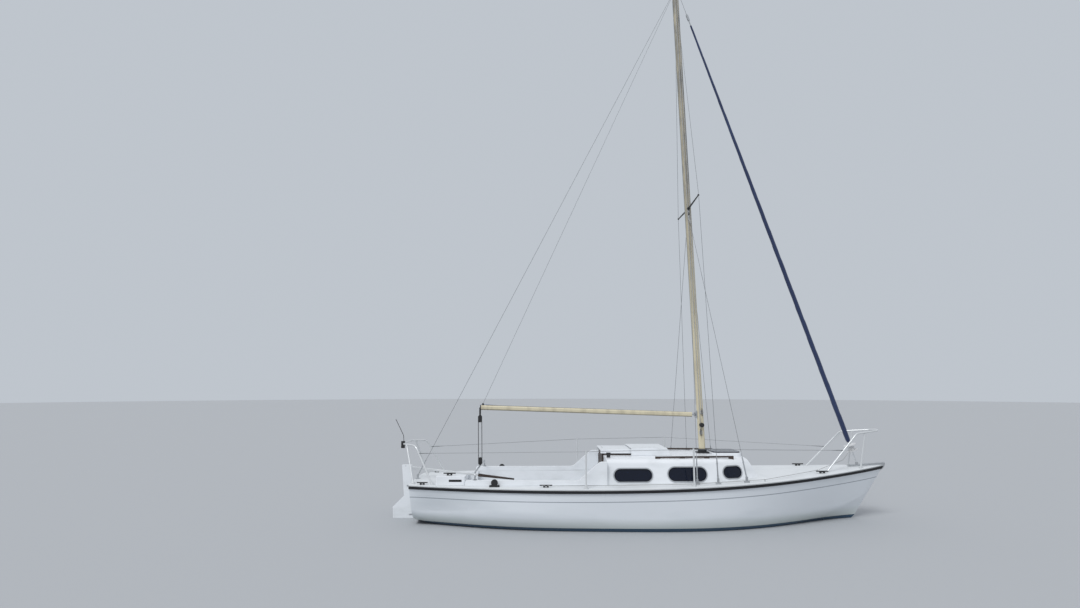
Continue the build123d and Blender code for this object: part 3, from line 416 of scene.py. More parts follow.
def small_cleat(centre, along, out, long=0.11):
    """A little horn cleat on a spar or a side."""
    centre, along, out = Vector(centre), Vector(along).normalized(), Vector(out).normalized()
    tip, arch = out * 0.030, out * 0.026
    horn = line([centre - along * long / 2 + tip, centre - along * long / 4 + arch,
                 centre + along * long / 4 + arch, centre + along * long / 2 + tip], 0.0055, "horn")
    feet = []
    for step in (-1, 1):
        foot = centre + along * step * long / 5
        feet.append(bar(foot, foot + arch, 0.008, 10))
    return [horn, *feet]


def sheer(x):
    """Height of the sheer line at a place along the hull."""
    if x < sheer_low_x:
        return sheer_low_z + sheer_slope * (x - sheer_low_x)
    run = x - sheer_low_x
    return sheer_low_z + sheer_slope * run + run * run / (2 * sheer_radius)


# Materials
def finish(name, colour, roughness, metallic=0.0, coat=0.0):
    """A plain finish, with its constant values on the shader."""
    material = bpy.data.materials.new(name)
    material.use_nodes = True
    shader = material.node_tree.nodes["Principled BSDF"]
    shader.inputs["Base Color"].default_value = (*colour, 1)
    shader.inputs["Roughness"].default_value = roughness
    shader.inputs["Metallic"].default_value = metallic
    shader.inputs["Coat Weight"].default_value = coat
    material.diffuse_color = (*colour, 1)
    return material


def texture_place(tree, scale):
    """Object coordinates, stretched by a scale along each axis."""
    coordinates = tree.nodes.new("ShaderNodeTexCoord")
    mapping = tree.nodes.new("ShaderNodeMapping")
    mapping.inputs["Scale"].default_value = scale
    tree.links.new(coordinates.outputs["Object"], mapping.inputs["Vector"])
    return mapping.outputs["Vector"]


def noise(tree, scale, detail):
    """Cloudy patches, stretched by a scale along each axis."""
    texture = tree.nodes.new("ShaderNodeTexNoise")
    texture.inputs["Scale"].default_value = 1.0
    texture.inputs["Detail"].default_value = detail
    tree.links.new(texture_place(tree, scale), texture.inputs["Vector"])
    return texture.outputs["Fac"]


def two_tone(tree, share, low, high, first, second):
    """One colour up to a low share, another from a high share on, and a blend between."""
    ramp = tree.nodes.new("ShaderNodeValToRGB")
    for element, place, colour in zip(ramp.color_ramp.elements, (low, high), (first, second)):
        element.position = place
        element.color = colour
    tree.links.new(share, ramp.inputs["Fac"])
    return ramp.outputs["Color"]


def mottled(material, other, scale, low, high):
    """Patches of a second colour over the first."""
    tree = material.node_tree
    base = tree.nodes["Principled BSDF"].inputs["Base Color"]
    patches = two_tone(tree, noise(tree, scale, 6.0), low, high, base.default_value, (*other, 1))
    tree.links.new(patches, base)
    return patches


def bumpy(material, scale, strength, distance):
    """A fine unevenness of the surface."""
    tree = material.node_tree
    bump = tree.nodes.new("ShaderNodeBump")
    bump.inputs["Strength"].default_value = strength
    bump.inputs["Distance"].default_value = distance
    tree.links.new(noise(tree, scale, 4.0), bump.inputs["Height"])
    tree.links.new(bump.outputs["Normal"], tree.nodes["Principled BSDF"].inputs["Normal"])


def math_node(tree, operation, first, second=0.0):
    """One step of arithmetic on sockets or numbers."""
    step = tree.nodes.new("ShaderNodeMath")
    step.operation = operation
    for socket, value in zip(step.inputs, (first, second)):
        if isinstance(value, (int, float)):
            socket.default_value = value
        else:
            tree.links.new(value, socket)
    return step.outputs[0]


def blend_range(tree, value, start, end):
    """A share from 0 to 1 as a value goes from a start to an end."""
    share = tree.nodes.new("ShaderNodeMapRange")
    share.inputs["From Min"].default_value = start
    share.inputs["From Max"].default_value = end
    tree.links.new(value, share.inputs["Value"])
    return share.outputs["Result"]


def mix_colours(tree, share, first, second):
    """One colour going over to another by a share. The second is a socket or a plain colour."""
    mix = tree.nodes.new("ShaderNodeMixRGB")
    tree.links.new(share, mix.inputs["Fac"])
    tree.links.new(first, mix.inputs["Color1"])
    if isinstance(second, bpy.types.NodeSocket):
        tree.links.new(second, mix.inputs["Color2"])
    else:
        mix.inputs["Color2"].default_value = (*second, 1)
    return mix.outputs["Color"]


def split(tree, vector):
    """The three parts of a vector."""
    parts = tree.nodes.new("ShaderNodeSeparateXYZ")
    tree.links.new(vector, parts.inputs["Vector"])
    return parts.outputs


def white_moulding(look):
    """Weathered white mouldings of the deck, cabin and cockpit."""
    material = finish("white moulding", look.moulding_white, 0.34, coat=0.15)
    mottled(material, look.moulding_grime, (2.5, 2.5, 5.0), 0.50, 0.85)
    bumpy(material, (60, 60, 60), 0.05, 0.001)
    return material


def deck_paint(look):
    """The deck: the same white, a little greyer, with a fine grip moulded in."""
    material = finish("deck grip", look.deck_white, 0.6)
    mottled(material, look.moulding_grime, (4.0, 4.0, 4.0), 0.42, 0.80)
    bumpy(material, (260, 260, 260), 0.5, 0.0015)
    return material


def topsides(look):
    """The hull: white topsides with a grey cove line, and antifouling below the water."""
    material = finish("hull topsides", look.hull_white, 0.25, coat=0.2)
    tree = material.node_tree
    film_strength = 0.55
    white = mottled(material, look.hull_grime, (0.7, 0.7, 3.0), 0.50, 0.90)
    place = split(tree, texture_place(tree, (1, 1, 1)))
    run = math_node(tree, "SUBTRACT", place["X"], sheer_low_x)
    rise = math_node(tree, "MULTIPLY", run, sheer_slope)
    ahead = math_node(tree, "MAXIMUM", run, 0.0)
    curve = math_node(tree, "MULTIPLY", math_node(tree, "MULTIPLY", ahead, ahead), 0.5 / sheer_radius)
    cove_z = math_node(tree, "ADD", math_node(tree, "ADD", rise, curve), sheer_low_z - look.cove_drop)
    off = math_node(tree, "ABSOLUTE", math_node(tree, "SUBTRACT", place["Z"], cove_z))
    on_line = math_node(tree, "LESS_THAN", off, look.cove_width / 2)
    below = math_node(tree, "LESS_THAN", place["Z"], look.paint_edge)
    film = blend_range(tree, place["Z"], look.slime_top, look.paint_edge)
    filmed = mix_colours(tree, math_node(tree, "MULTIPLY", film, film_strength), white, look.slime_green)
    striped = mix_colours(tree, on_line, filmed, look.cove_grey)
    painted = mix_colours(tree, below, striped, look.antifouling)
    tree.links.new(painted, tree.nodes["Principled BSDF"].inputs["Base Color"])
    return material


def pale_spar(look):
    """Cream anodising of the mast and boom with mottled stains. It goes over to a blotched grey aloft, which
    is painted backlit shade, and is darker on faces turned down, which is painted shade.
    """
    material = finish("stained spar with painted shade", look.spar_cream, 0.45, metallic=0.05)
    tree = material.node_tree
    cream = mottled(material, look.spar_stain, (9.0, 9.0, 1.6), 0.48, 0.78)
    # Painted backlit shade: with height the spar goes over to a blotched grey, the dark look of a spar
    # against a bright sky
    blotches = noise(tree, (14.0, 14.0, 3.2), 5.0)
    grey = two_tone(tree, blotches, 0.35, 0.66, (*look.spar_backlit_grey, 1), (*look.spar_stain, 1))
    height = split(tree, texture_place(tree, (1, 1, 1)))["Z"]
    weathered_and_backlit = mix_colours(tree, blend_range(tree, height, look.shade_aloft_from, look.shade_aloft_full), cream, grey)
    # Painted shade: faces turned downwards, most of all the boom's underside, go over to a dark brown
    facing = split(tree, tree.nodes.new("ShaderNodeNewGeometry").outputs["Normal"])["Z"]
    shaded_below = mix_colours(tree, blend_range(tree, facing, -0.35, -0.9), weathered_and_backlit, look.spar_shade_below)
    tree.links.new(shaded_below, tree.nodes["Principled BSDF"].inputs["Base Color"])
    bumpy(material, (40, 40, 8), 0.06, 0.001)
    return material


def dark_teak(look, name, grain):
    """Old teak, darkened by weather; the grain's scale is small along the boards."""
    material = finish(name, look.teak_brown, 0.55)
    mottled(material, look.teak_dark, grain, 0.40, 0.62)
    bumpy(material, tuple(2.5 * step for step in grain), 0.25, 0.0008)
    return material


def blue_sailcloth(look):
    """Navy cloth of the headsail's sun strip."""
    material = finish("navy sailcloth", look.sail_navy, 0.78)
    material.node_tree.nodes["Principled BSDF"].inputs["Sheen Weight"].default_value = 0.25
    mottled(material, look.sail_faded, (4.0, 4.0, 1.0), 0.45, 0.80)
    bumpy(material, (220, 220, 220), 0.2, 0.0006)
    return material


def tinted_pane(look):
    """Dark tinted acrylic, which lets a little of the cabin show."""
    material = finish("tinted pane", look.pane_dark, 0.07)
    shader = material.node_tree.nodes["Principled BSDF"]
    shader.inputs["Alpha"].default_value = 0.94
    shader.inputs["IOR"].default_value = 1.49
    shader.inputs["Specular IOR Level"].default_value = 0.30
    return material


# Settings that a user would change
def tint(name, words, value):
    """A colour in the panel."""
    return bpy.props.FloatVectorProperty(name=name, description=words, subtype="COLOR", size=3,
                                         min=0.0, max=1.0, default=value)


def measure(name, words, value):
    """A length in the panel."""
    return bpy.props.FloatProperty(name=name, description=words, unit="LENGTH", default=value)


class SloopLook(bpy.types.PropertyGroup):
    """Colours and lines of the boat's finishes."""

    moulding_white: tint("Moulding", "White of the deck and cabin", (0.74, 0.77, 0.80))
    deck_white: tint("Deck", "Greyer white of the deck's grip", (0.66, 0.69, 0.71))
    moulding_grime: tint("Moulding grime", "Grey that weather leaves on the mouldings", (0.60, 0.63, 0.65))
    hull_white: tint("Topsides", "White of the topsides", (0.72, 0.76, 0.80))
    hull_grime: tint("Topside grime", "Grey film on the topsides", (0.58, 0.63, 0.66))
    slime_green: tint("Water film", "Grey-green film just above the waterline", (0.42, 0.48, 0.42))
    antifouling: tint("Antifouling", "Paint below the waterline", (0.03, 0.07, 0.12))
    cove_grey: tint("Cove line", "Thin line below the strake", (0.33, 0.36, 0.40))
    spar_cream: tint("Spar", "Cream of the mast and boom", (0.60, 0.55, 0.40))
    spar_stain: tint("Spar stain", "Grey-brown of the worn spar", (0.42, 0.38, 0.28))
    # Painted backlit shade: the grey that the mast goes over to aloft
    spar_backlit_grey: tint("Spar grey", "Grey of the mast aloft", (0.17, 0.17, 0.16))
    # Painted shade on faces turned downwards, such as the boom's underside
    spar_shade_below: tint("Spar underside", "Painted shade along the boom's underside", (0.16, 0.13, 0.08))
    teak_brown: tint("Teak", "Brown of the old teak", (0.050, 0.031, 0.023))
    teak_dark: tint("Teak grain", "Dark grain of the teak", (0.022, 0.015, 0.012))
    sail_navy: tint("Sailcloth", "Navy of the rolled sail", (0.011, 0.024, 0.080))
    sail_faded: tint("Faded sailcloth", "Blue where the sun has faded the cloth", (0.024, 0.048, 0.125))
    pane_dark: tint("Panes", "Dark tint of the windows", (0.006, 0.009, 0.020))
    # Heights where the painted backlit grey of the mast begins and is full
    shade_aloft_from: measure("Grey from", "Height where the mast starts to grey", 2.6)
    shade_aloft_full: measure("Grey full", "Height where the mast is all grey", 5.2)
    cove_drop: measure("Cove drop", "Depth of the cove line below the sheer", 0.165)
    cove_width: measure("Cove width", "Width of the cove line", 0.012)
    paint_edge: measure("Paint edge", "Height where the antifouling ends", 0.05)
    slime_top: measure("Film top", "Height where the water's film fades out", 0.19)


class SloopRig(bpy.types.PropertyGroup):
    """Sizes of the wires and ropes."""

    guard_radius: measure("Guard wire", "Radius of the guard wires", 0.0025)
    rope_radius: measure("Rope", "Radius of the sheets and halyards", 0.0045)
    rolls: bpy.props.IntProperty(name="Turns", description="Turns of cloth along the rolled sail", default=14)


class SloopStage(bpy.types.PropertyGroup):
    """Where the camera stands, and the light."""

    camera_place: bpy.props.FloatVectorProperty(
        name="Camera", description="Place of the camera", size=3, subtype="TRANSLATION",
        default=(-1.62, -10.25, 1.943),
    )
    camera_pitch: bpy.props.FloatProperty(
        name="Pitch", description="Upward tilt of the camera", subtype="ANGLE", default=math.radians(6.94),
    )
    floor_colour: tint("Floor", "Colour of the floor", (0.40, 0.42, 0.44))
    backdrop: tint("Backdrop", "Colour seen behind the boat", (0.52, 0.56, 0.61))
    sky_strength: bpy.props.FloatProperty(name="Sky", description="Strength of the soft light", default=0.75)
    sun_strength: bpy.props.FloatProperty(name="Sun", description="Strength of the main lamp", default=1.6)


class SLOOP_OT_stage(bpy.types.Operator):
    """Adds the camera, the floor at the waterline and the light"""

    bl_idname = "sloop.stage"
    bl_label = "Camera, floor and light"

    def execute(self, context):
        stage = context.scene.sloop_stage
        deselect()
        upright = math.pi / 2
        bpy.ops.object.camera_add(location=stage.camera_place, rotation=(upright + stage.camera_pitch, 0, 0))
        camera = context.object
        camera.data.sensor_width = sensor_width
        camera.data.lens = focal_pixels / photo_width * sensor_width
        camera.data.clip_end = far_clip
        context.scene.camera = camera
        deselect()
        bpy.ops.mesh.primitive_circle_add(vertices=96, radius=floor_radius, fill_type="NGON")
        floor = settle(context.object, "floor")
        paint(floor, finish("pale floor", stage.floor_colour, 0.9))
        deselect()
        bpy.ops.object.light_add(type="SUN", location=sun_place, rotation=sun_turn)
        sun = context.object
        sun.data.energy = stage.sun_strength
        sun.data.angle = sun_softness
        world = bpy.data.worlds.new("soft sky")
        world.use_nodes = True
        context.scene.world = world
        tree = world.node_tree
        sky = tree.nodes["Background"]
        sky.inputs["Color"].default_value = (*sky_colour, 1)
        sky.inputs["Strength"].default_value = stage.sky_strength
        seen = tree.nodes.new("ShaderNodeBackground")
        seen.inputs["Color"].default_value = (*stage.backdrop, 1)
        seen.inputs["Strength"].default_value = 1.0
        path = tree.nodes.new("ShaderNodeLightPath")
        shown = math_node(tree, "MAXIMUM", path.outputs["Is Camera Ray"], path.outputs["Is Glossy Ray"])
        shown = math_node(tree, "MAXIMUM", shown, path.outputs["Is Transmission Ray"])
        mix = tree.nodes.new("ShaderNodeMixShader")
        tree.links.new(shown, mix.inputs["Fac"])
        tree.links.new(sky.outputs["Background"], mix.inputs[1])
        tree.links.new(seen.outputs["Background"], mix.inputs[2])
        tree.links.new(mix.outputs["Shader"], tree.nodes["World Output"].inputs["Surface"])
        context.scene.view_settings.view_transform = "Standard"
        return {"FINISHED"}


class SLOOP_OT_mouldings(bpy.types.Operator):
    """Finishes the hull, the deck, the cabin and the cockpit"""

    bl_idname = "sloop.mouldings"
    bl_label = "Hull and mouldings"

    def execute(self, context):
        look = context.scene.sloop_look
        white = white_moulding(look)
        for node in ("coachroof", "cockpit", "cabin_moulding"):
            ride(paint(dressed_copy(node), white))
        ride(paint(dressed_copy("deck"), deck_paint(look)))
        for node in ("cockpit_coamings", "sea_hood", "fore_hatch_coaming", "quarter_locker"):
            ride(paint(dressed_copy(node, bevel=0.006), white))
        for node, body in (("sliding_hatch", "main_hatch"), ("locker_lid_port", "port_locker"),
                           ("locker_lid_starboard", "starboard_locker")):
            ride(paint(dressed_copy(node, bevel=0.005), white), body)
        ride(paint(dressed_copy("hull", 50), topsides(look)))
        strake = finish("black rubber strake", (0.008, 0.008, 0.011), 0.65)
        ride(paint(dressed_copy("rubbing_strake", 50), strake))
        paint_node("keel", finish("painted iron", look.antifouling, 0.7))
        paint_node("rudder", white)
        return {"FINISHED"}


class SLOOP_OT_metal_and_wood(bpy.types.Operator):
    """Finishes the spars, rails, windows, woodwork, wires and fittings that the frame holds"""

    bl_idname = "sloop.metal_and_wood"
    bl_label = "Spars, rails, windows and woodwork"

    def execute(self, context):
        look = context.scene.sloop_look
        spar = pale_spar(look)
        for node, body in (("mast", "boat"), ("boom", "boom_spar")):
            ride(paint(dressed_copy(node, 50), spar), body)
        black = finish("black fitting", (0.015, 0.015, 0.016), 0.42)
        steel = finish("stainless steel", (0.55, 0.56, 0.57), 0.28, metallic=1.0)
        rail = finish("rail", (0.66, 0.68, 0.69), 0.3, metallic=0.35)
        teak = dark_teak(look, "dark teak", (3.0, 60.0, 60.0))
        boards = dark_teak(look, "teak boards", (60.0, 3.0, 60.0))
        pane = tinted_pane(look)
        surround = finish("window surround", (0.45, 0.47, 0.49), 0.4, metallic=0.6)
        # Painted backlit shade: the standing wires and the topping lift are a dark grey, the way thin wires
        # look against a bright sky
        wire = finish("shroud wire painted backlit dark", (0.19, 0.20, 0.21), 0.5, metallic=0.6)
        drum = finish("drum plastic", (0.60, 0.61, 0.62), 0.45)
        table = (
            (black, ("spreaders", "spreader_sockets", "boom_end", "mast_step", "roof_winches", "mast_winch",
                     "cleats", "quarter_blocks", "sheet_block_upper", "sheet_block_lower", "whip_rod")),
            (rail, ("pulpit", "pushpit", "stanchions", "tiller_arm")),
            (teak, ("washboard_guides", "hatch_runners", "grab_rails", "tiller")),
            (boards, ("washboards",)),
            (pane, ("window_panes_port", "window_panes_starboard", "fore_hatch")),
            (surround, ("window_frames_port", "window_frames_starboard")),
            (wire, ("shrouds", "backstay", "topping_lift", "forestay")),
            (steel, ("masthead", "gooseneck", "boom_tongue", "rigging_screws", "chainplates", "headfoil",
                     "halyard_swivel", "stemhead", "sheet_horse", "gudgeons", "pintles")),
            (drum, ("furler_drum",)),
        )
        for material, wearers in table:
            for node in wearers:
                paint_node(node, material)
        return {"FINISHED"}


class SLOOP_OT_rolled_sail(bpy.types.Operator):
    """Models the headsail rolled round its foil, with the spiral edge of its cloth"""

    bl_idname = "sloop.rolled_sail"
    bl_label = "Rolled headsail"

    def execute(self, context):
        look = context.scene.sloop_look
        rig = context.scene.sloop_rig
        cloth_step = 0.10
        wrinkle_depth, wrinkles_up, wrinkles_round = 0.02, 140, 12
        low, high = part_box("furled_sail")
        start, end = axis_point("furler_spin", low[2]), axis_point("furler_spin", high[2])
        long = (end - start).length
        deselect()
        bpy.ops.mesh.primitive_cylinder_add(vertices=roll_sides, radius=1, depth=long, end_fill_type="TRIFAN")
        roll = context.object
        context.tool_settings.mesh_select_mode = (False, True, False)
        for cuts in roll_cuts:
            bpy.ops.object.mode_set(mode="EDIT")
            bpy.ops.mesh.select_all(action="DESELECT")
            bpy.ops.object.mode_set(mode="OBJECT")
            for edge in roll.data.edges:
                first, second = (roll.data.vertices[i].co for i in edge.vertices)
                edge.select = abs(first.z - second.z) > 0.001
            bpy.ops.object.mode_set(mode="EDIT")
            bpy.ops.mesh.subdivide(number_cuts=cuts, quadcorner="INNERVERT")
            bpy.ops.object.mode_set(mode="OBJECT")
        turn = Vector(joints["furler_spin"]["axis"]).to_track_quat("Z", "Y")
        middle = (start + end) / 2
        for vertex in roll.data.vertices:
            share = vertex.co.z / long + 0.5
            away = Vector((vertex.co.x, vertex.co.y, 0))
            if away.length < 0.01:
                vertex.co = turn @ vertex.co + middle
                continue
            around = math.atan2(away.y, away.x) / (2 * math.pi)
            lap = (around + share * rig.rolls) % 1.0
            radius = roll_radius(share) * (1 - cloth_step + cloth_step * lap)
            radius *= 1 + wrinkle_depth * math.sin(share * wrinkles_up + around * wrinkles_round)
            place = away.normalized() * radius
            vertex.co = turn @ Vector((place.x, place.y, vertex.co.z)) + middle
        settle(roll, "rolled_headsail")
        smooth(roll, 50)
        paint(roll, blue_sailcloth(look))
        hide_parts("furled_sail")
        ride(roll, "furler")
        return {"FINISHED"}


def roll_radius(share):
    """Radius of the rolled cloth, from its foot to its head."""
    for (low, first), (high, second) in zip(roll_stations, roll_stations[1:]):
        if share <= high:
            return first + (second - first) * (share - low) / (high - low)
    return roll_stations[-1][1]


class SLOOP_OT_guard_wires(bpy.types.Operator):
    """Strings the guard wires from the bow rail to the stern rail"""

    bl_idname = "sloop.guard_wires"
    bl_label = "Guard wires"

    def execute(self, context):
        rig = context.scene.sloop_rig
        steel = finish("guard wire", (0.24, 0.25, 0.26), 0.5, metallic=0.6)
        low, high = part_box("stanchions")
        fore_post = [edge - inset for edge, inset in zip(high, fore_post_inset)]
        aft_post = [low[0] + aft_post_inset[0], high[1] - aft_post_inset[1], high[2] - aft_post_inset[2]]
        wires = []
        for side in (-1, 1):
            route = [Vector((x, side * y, z)) for x, y, z in (pulpit_eye, fore_post, aft_post, pushpit_eye)]
            for start, end in zip(route, route[1:]):
                wires.append(bar(start, end, rig.guard_radius, 8))
            for eye, near in ((route[0], route[1]), (route[-1], route[-2])):
                way = (near - eye).normalized()
                for start, end, radius in guard_terminal:
                    wires.append(bar(eye + way * start, eye + way * end, radius, 10))
            for post in route[1:3]:
                wires.append(ring(post, hole_sideways, 0.006, 0.002, 12))
        ride(paint(join(wires, "guard_wires"), steel))
        return {"FINISHED"}


class SLOOP_OT_mainsheet(bpy.types.Operator):
    """Reeves the mainsheet between its two blocks"""

    bl_idname = "sloop.mainsheet"
    bl_label = "Mainsheet"

    def execute(self, context):
        rig = context.scene.sloop_rig
        rope = finish("dark sheet", (0.030, 0.031, 0.034), 0.85)
        mottled(rope, (0.16, 0.16, 0.17), (300, 300, 300), 0.50, 0.62)
        upper_low, upper_high = vectors(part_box("sheet_block_upper"))
        lower_low, lower_high = vectors(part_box("sheet_block_lower"))
        top = (upper_low + upper_high) / 2
        bottom = (lower_low + lower_high) / 2
        falls = []
        for across in (fall_across, -fall_across):
            for along in (-fall_along, fall_along):
                low = Vector((bottom.x + along, across, bottom.z))
                high = Vector((top.x + along, across, top.z))
                route = [low.lerp(high, part / 5) for part in range(6)]
                falls.append(line(route, rig.rope_radius, "fall", 1))
        piece = paint(join(falls, "mainsheet"), rope)
        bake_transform(piece)
        return {"FINISHED"}


class SLOOP_OT_window_fittings(bpy.types.Operator):
    """Adds the rubber round each pane and the screws of each window frame"""

    bl_idname = "sloop.window_fittings"
    bl_label = "Window rubbers and screws"

    def execute(self, context):
        rubber = finish("window rubber", (0.012, 0.012, 0.013), 0.6)
        steel = finish("window screws", (0.42, 0.43, 0.44), 0.35, metallic=1.0)
        seals, screws = [], []
        for side, name in ((1, "window_frames_port"), (-1, "window_frames_starboard")):
            inward = (0, -side, 0)
            for window in windows:
                edge = []
                for x, z in slot_line(window, -rubber_inset, 14):
                    edge.append(meet(name, (x, side * outside, z), inward)[0])
                seals.append(line([*edge, edge[0]], rubber_radius, "seal", 1))
                for x, z in slot_line(window, screw_line_out, 3):
                    place, normal = meet(name, (x, side * outside, z), inward)
                    screws.append(stud(place, normal, radius=0.0038, high=0.0015))
        ride(paint(join(seals, "window_rubbers"), rubber))
        ride(paint(join(screws, "window_screws"), steel))
        return {"FINISHED"}


def slot_line(window, grow, steps):
    """Points round a slot with half-round ends, grown a little."""
    aft, fore, middle, height = window
    radius = height / 2 + grow
    run = (fore - aft) / 2 - height / 2
    centre = (aft + fore) / 2
    points = []
    for end, start_turn in ((1, -math.pi / 2), (-1, math.pi / 2)):
        for step in range(steps + 1):
            turn = start_turn + math.pi * step / steps
            points.append((centre + end * run + radius * math.cos(turn), middle + radius * math.sin(turn)))
        points.append((centre, middle + radius * math.sin(start_turn + math.pi)))
    return points


class SLOOP_OT_mast_fittings(bpy.types.Operator):
    """Adds the sail track, halyards, tangs and cleats of the mast"""

    bl_idname = "sloop.mast_fittings"
    bl_label = "Mast fittings"

    def execute(self, context):
        rig = context.scene.sloop_rig
        steel = finish("mast steel", (0.50, 0.51, 0.52), 0.32, metallic=1.0)
        black = finish("mast cleats", (0.016, 0.016, 0.017), 0.45)
        rope = finish("halyard rope", (0.50, 0.50, 0.48), 0.85)
        mottled(rope, (0.30, 0.31, 0.33), (400, 400, 400), 0.45, 0.55)
        aft = -mast_half_long
        track = bar(mast_point(track_foot, aft), mast_point(track_head, aft), 0.0055, 6)
        ride(paint(settle(track, "sail_track"), steel))
        up_mast = mast_point(2) - mast_point(1)
        ropes, cleats, plates = [], [], []
        for ahead, side, low in halyards:
            head = mast_point(halyard_head, ahead, side * (mast_half_wide + 0.010))
            foot = mast_point(low, ahead, side * (mast_half_wide + 0.014))
            ropes.append(bar(head, foot, rig.rope_radius, 10))
            cleats.extend(small_cleat(mast_point(low, ahead, side * mast_half_wide), up_mast, (0, side, 0)))
            for turn in range(cleat_turns):
                centre = mast_point(low + 0.008 * (turn - 1), ahead, side * (mast_half_wide + 0.017))
                ropes.append(ring(centre, hole_sideways, 0.021, rig.rope_radius, 16))
        ride(paint(join(ropes, "halyards"), rope))
        ride(paint(join(cleats, "mast_cleats"), black))
        for height in tang_heights:
            for side in (-1, 1):
                plate = mast_point(height + 0.03, 0, side * (mast_half_wide + 0.001))
                plates.append(box(plate, tang_size, 0.0012))
                bolt = mast_point(height + 0.055, 0, side * (mast_half_wide + 0.003))
                plates.append(stud(bolt, (0, side, 0), radius=0.006, high=0.003, sides=6))
        for lift in (-0.045, 0.045):
            for side in (-0.014, 0.014):
                bolt = mast_point(gooseneck_height + lift, aft - 0.014, side)
                plates.append(stud(bolt, (-1, 0, 0), radius=0.004, high=0.003))
        ride(paint(join(plates, "mast_tangs"), steel))
        return {"FINISHED"}


class SLOOP_OT_boom_fittings(bpy.types.Operator):
    """Adds the boom's sail groove, drawn as a dark bar of painted shade, its outhaul and the bolts of its end
    """

    bl_idname = "sloop.boom_fittings"
    bl_label = "Boom fittings"

    def execute(self, context):
        rig = context.scene.sloop_rig
        # Painted shade: the sail groove is drawn as a dark bar along the boom's top for its shaded slot; the
        # outhaul's cleat, which is black, shares the colour
        dark = finish("groove shade and cleat black", (0.03, 0.028, 0.024), 0.7)
        steel = finish("boom steel", (0.50, 0.51, 0.52), 0.32, metallic=1.0)
        low, high = vectors(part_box("boom"))
        half_deep = 0.035
        droop = 0.03
        start = Vector((high.x - 0.06, 0, low.z + 2 * half_deep))
        end = Vector((low.x + 0.08, 0, high.z - 0.002))
        groove = bar(start, end, 0.0035, 8)
        ride(paint(settle(groove, "boom_groove"), dark), "boom_spar")
        bolts = []
        for along in (0.10, 0.16):
            for side in (-1, 1):
                place = (low.x + along, side * 0.0255, high.z - half_deep - along * droop)
                bolts.append(stud(place, (0, side, 0), radius=0.005, high=0.003, sides=6))
        ride(paint(join(bolts, "boom_bolts"), steel), "boom_spar")
        rope = finish("outhaul rope", (0.16, 0.20, 0.30), 0.85)
        route = [end + Vector(step) for step in outhaul_steps]
        outhaul = line(route, rig.rope_radius * 0.7, "outhaul")
        cleat = join(small_cleat(end + Vector(outhaul_cleat), (1, 0, droop), (0, 1, 0), 0.09), "boom_cleat")
        ride(paint(outhaul, rope), "boom_spar")
        ride(paint(cleat, dark), "boom_spar")
        return {"FINISHED"}


class SLOOP_OT_rigging_ends(bpy.types.Operator):
    """Adds the terminals, lock nuts and clevis pins of the shrouds"""

    bl_idname = "sloop.rigging_ends"
    bl_label = "Ends of the shrouds"

    def execute(self, context):
        steel = finish("rigging steel", (0.56, 0.57, 0.58), 0.28, metallic=1.0)
        pieces = []
        for side in (-1, 1):
            for eye, upper in shrouds:
                foot = Vector((eye[0], side * eye[1], eye[2]))
                head = Vector((upper[0], side * upper[1], upper[2]))
                way = (head - foot).normalized()
                half_pin = Vector((0, 0.016, 0))
                pieces.append(bar(foot - half_pin, foot + half_pin, 0.0055, 10))
                for share in nut_shares:
                    centre = foot + way * (screw_seat + screw_long * share)
                    pieces.append(bar(centre - way * 0.006, centre + way * 0.006, 0.0125, 6))
                top = foot + way * (screw_seat + screw_long)
                neck = top + way * swage_long
                pieces.append(bar(top, neck, 0.0075, 10))
                pieces.append(bar(neck, top + way * terminal_long, 0.0045, 10, 0.0035))
                ends_at_mast = abs(upper[1]) < 0.1
                if ends_at_mast:
                    pieces.append(bar(head - way * terminal_long, head - way * 0.02, 0.0045, 10))
        ride(paint(join(pieces, "rigging_terminals"), steel))
        return {"FINISHED"}


class SLOOP_OT_deck_bolts(bpy.types.Operator):
    """Adds the bolt heads of the rails, stanchions, sheet horse and the stem plate"""

    bl_idname = "sloop.deck_bolts"
    bl_label = "Bolts on the deck"

    def execute(self, context):
        steel = finish("deck bolts", (0.45, 0.46, 0.47), 0.35, metallic=1.0)
        heads = []
        horse_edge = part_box("sheet_horse")[1][1]
        for side in (-1, 1):
            for node, x, y in deck_feet:
                heads.extend(four_studs(node, (x, side * y, sheer(x) + 0.06), foot_bolt_circle))
            horse_foot = (horse_x, side * (horse_edge - horse_foot_inset), 0.70)
            heads.extend(four_studs("sheet_horse", horse_foot, horse_bolt_circle))
        for x in stem_bolt_rows:
            for y in (-stem_bolt_side, stem_bolt_side):
                heads.append(stud(*meet("stemhead", (x, y, outside), down), radius=0.0055))
        ride(paint(join(heads, "deck_bolts"), steel))
        return {"FINISHED"}


